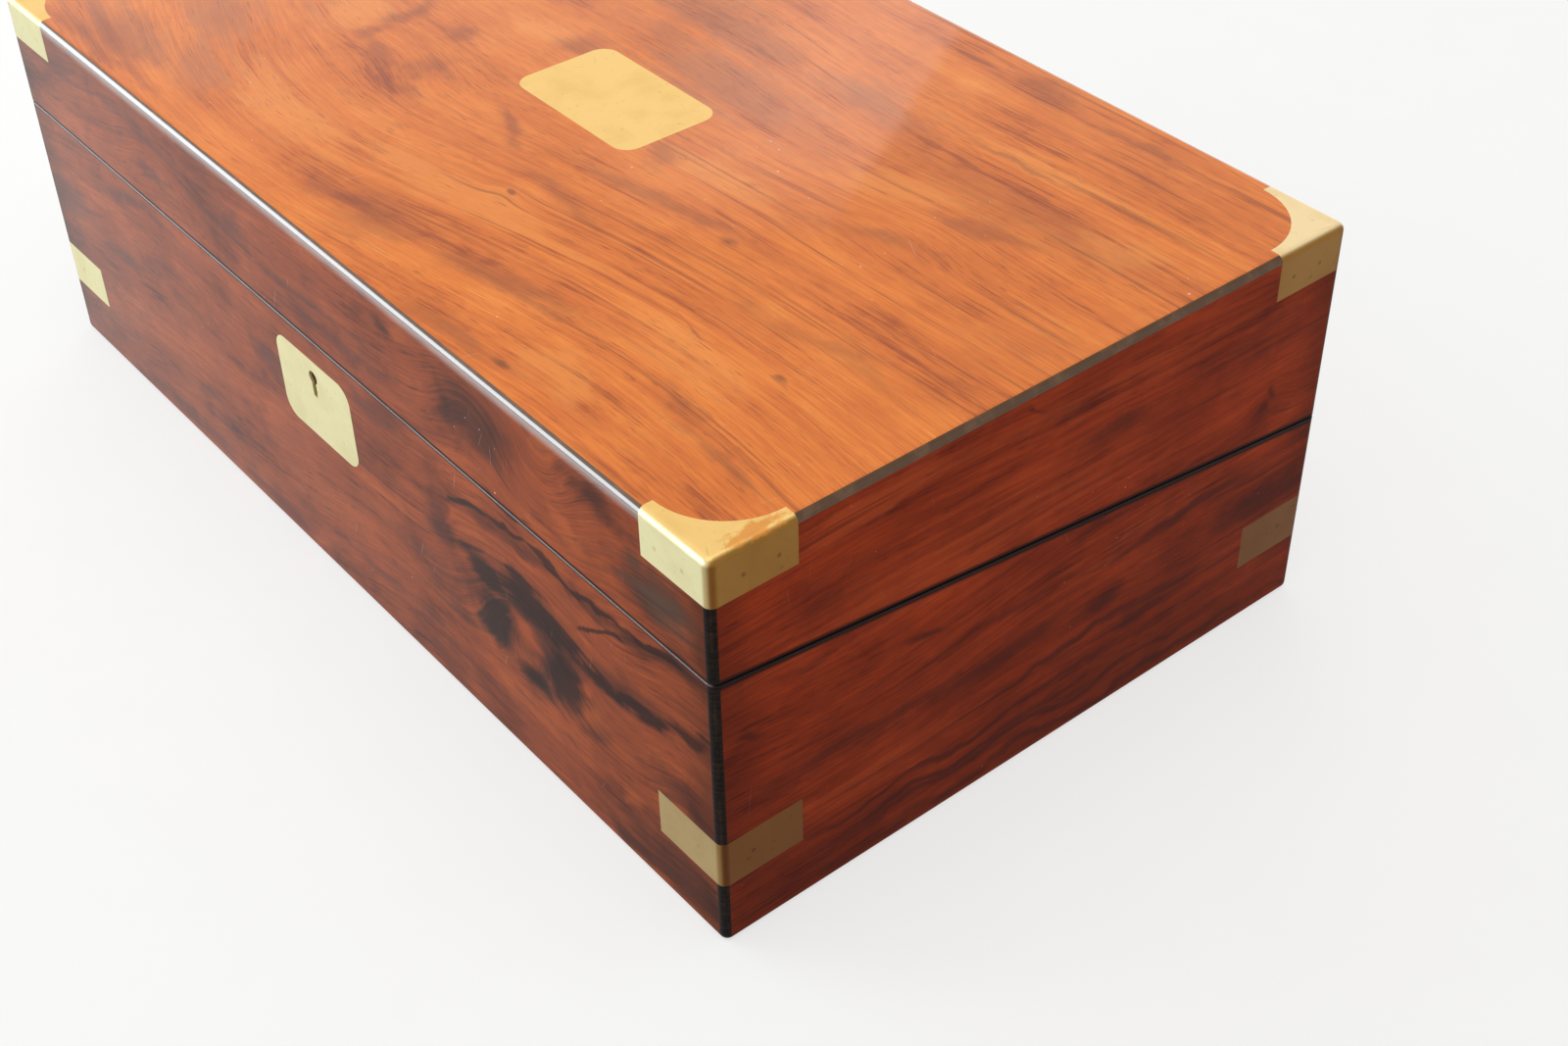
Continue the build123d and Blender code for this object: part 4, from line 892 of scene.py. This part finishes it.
def lamp(name, place, aim, wide, tall, radiance, colour, lights=True, mirrored=True):
    """A soft panel of light of an even brightness."""
    data = bpy.data.lights.new(name, "AREA")
    data.shape = "RECTANGLE"
    data.size = wide
    data.size_y = tall
    data.energy = radiance * math.pi * wide * tall
    data.color = colour
    panel = bpy.data.objects.new(name, data)
    bpy.context.collection.objects.link(panel)
    look = (Vector(aim) - Vector(place)).to_track_quat("-Z", "Y").to_matrix().to_4x4()
    panel.matrix_world = Matrix.Translation(place) @ look
    panel.visible_camera = False
    panel.visible_diffuse = lights
    panel.visible_glossy = mirrored


def seen_directly(b):
    """One for what the eye, a mirror or glass sees, and nought for the light that falls on things. The
    second answer is one for mirrors alone."""
    rays = b.add("LightPath").outputs
    seen = b.sum("MAXIMUM", rays["Is Camera Ray"], rays["Is Glossy Ray"])
    return b.sum("MAXIMUM", seen, rays["Is Transmission Ray"]), rays["Is Glossy Ray"]


def make_room():
    """A pale room: even light on things, and in a polish a bright horizon and one tall window."""
    world = bpy.data.worlds.new("room")
    bpy.context.scene.world = world
    world.use_nodes = True
    b = Bench(world.node_tree)
    seen, mirrored = seen_directly(b)
    x, y, z = b.parts(b.add("TexCoord").outputs["Generated"])
    horizon = b.fit(z, math.sin(math.radians(23)), math.sin(math.radians(33)), 1.1, 0.6)
    turn = b.sum("ARCTAN2", y, x)
    lean = b.sum("MULTIPLY_ADD", b.sum("ARCSINE", z), -0.72, turn)
    jamb = b.fit(lean, math.radians(116.2), math.radians(117.0))
    head = b.fit(z, math.sin(math.radians(29)), math.sin(math.radians(35)), 1.0, 0.0)
    past = b.fit(lean, math.radians(119), math.radians(128.5), 1.0, 0.4)
    window = b.sum("MULTIPLY", b.sum("MULTIPLY", jamb, head), past)
    polish = b.sum("MAXIMUM", horizon, b.sum("MULTIPLY", window, 1.5))
    level = b.fit(seen, 0, 1, 0.5, 0.95, "LINEAR")
    level = b.add("Mix", {0: mirrored, 2: level, 3: polish}, data_type="FLOAT").outputs[0]
    sky = world.node_tree.nodes["Background"]
    b.feed(sky.inputs["Color"], (1, 1, 1))
    b.feed(sky.inputs["Strength"], level)


def make_floor():
    """A pale plain floor, lifted a little where it is seen."""
    bpy.ops.object.select_all(action="DESELECT")
    bpy.ops.mesh.primitive_plane_add(size=12, location=(0, 0, 0))
    floor = bpy.context.object
    floor.name = "floor"
    b = finish("pale_floor")
    speckle = b.noise(b.place, 35.0, 5.0, 0.6)
    colour = b.ramp(speckle, (0.3, (0.885, 0.885, 0.875)), (0.7, (0.905, 0.905, 0.9)))
    set_shader(b, Base_Color=colour, Roughness=0.75, Specular_IOR_Level=0.1)
    glow = b.add("Emission", {"Color": (1.0, 1.0, 0.985), "Strength": 0.98}).outputs[0]
    share = b.sum("MULTIPLY", seen_directly(b)[0], 0.68)
    lifted = b.add("MixShader", {0: share, 1: b.shader.outputs[0], 2: glow}).outputs[0]
    b.feed(b.tree.nodes["Material Output"].inputs["Surface"], lifted)
    floor.data.materials.append(b.material)


def make_studio():
    make_room()
    make_floor()
    lamp("front_window", place=(-1.0, -0.75, 0.75), aim=(0, -0.1, 0.1), wide=0.95, tall=0.4, radiance=7,
         colour=DAY, mirrored=False)
    lamp("rear_window", place=(-1.1, 1.1, 1.0), aim=(0, 0, 0.1), wide=0.7, tall=0.7, radiance=2.2,
         colour=(1, 0.97, 0.92), mirrored=False)
    lamp("overhead", place=(0.2, -0.2, 2.6), aim=(0, 0, 0), wide=2.6, tall=2.6, radiance=1.3,
         colour=(1, 1, 1))
    lamp("edge_window", place=(-0.335, -0.447, 0.21), aim=(-0.206, 0.036, 0.21), wide=0.82, tall=0.33,
         radiance=4.8, colour=DAY, lights=False)


place_camera()
bpy.context.scene.view_settings.view_transform = "Standard"
furnish_bottles(dress_box())
make_rim_bead(make_bead_finish())
make_studio()
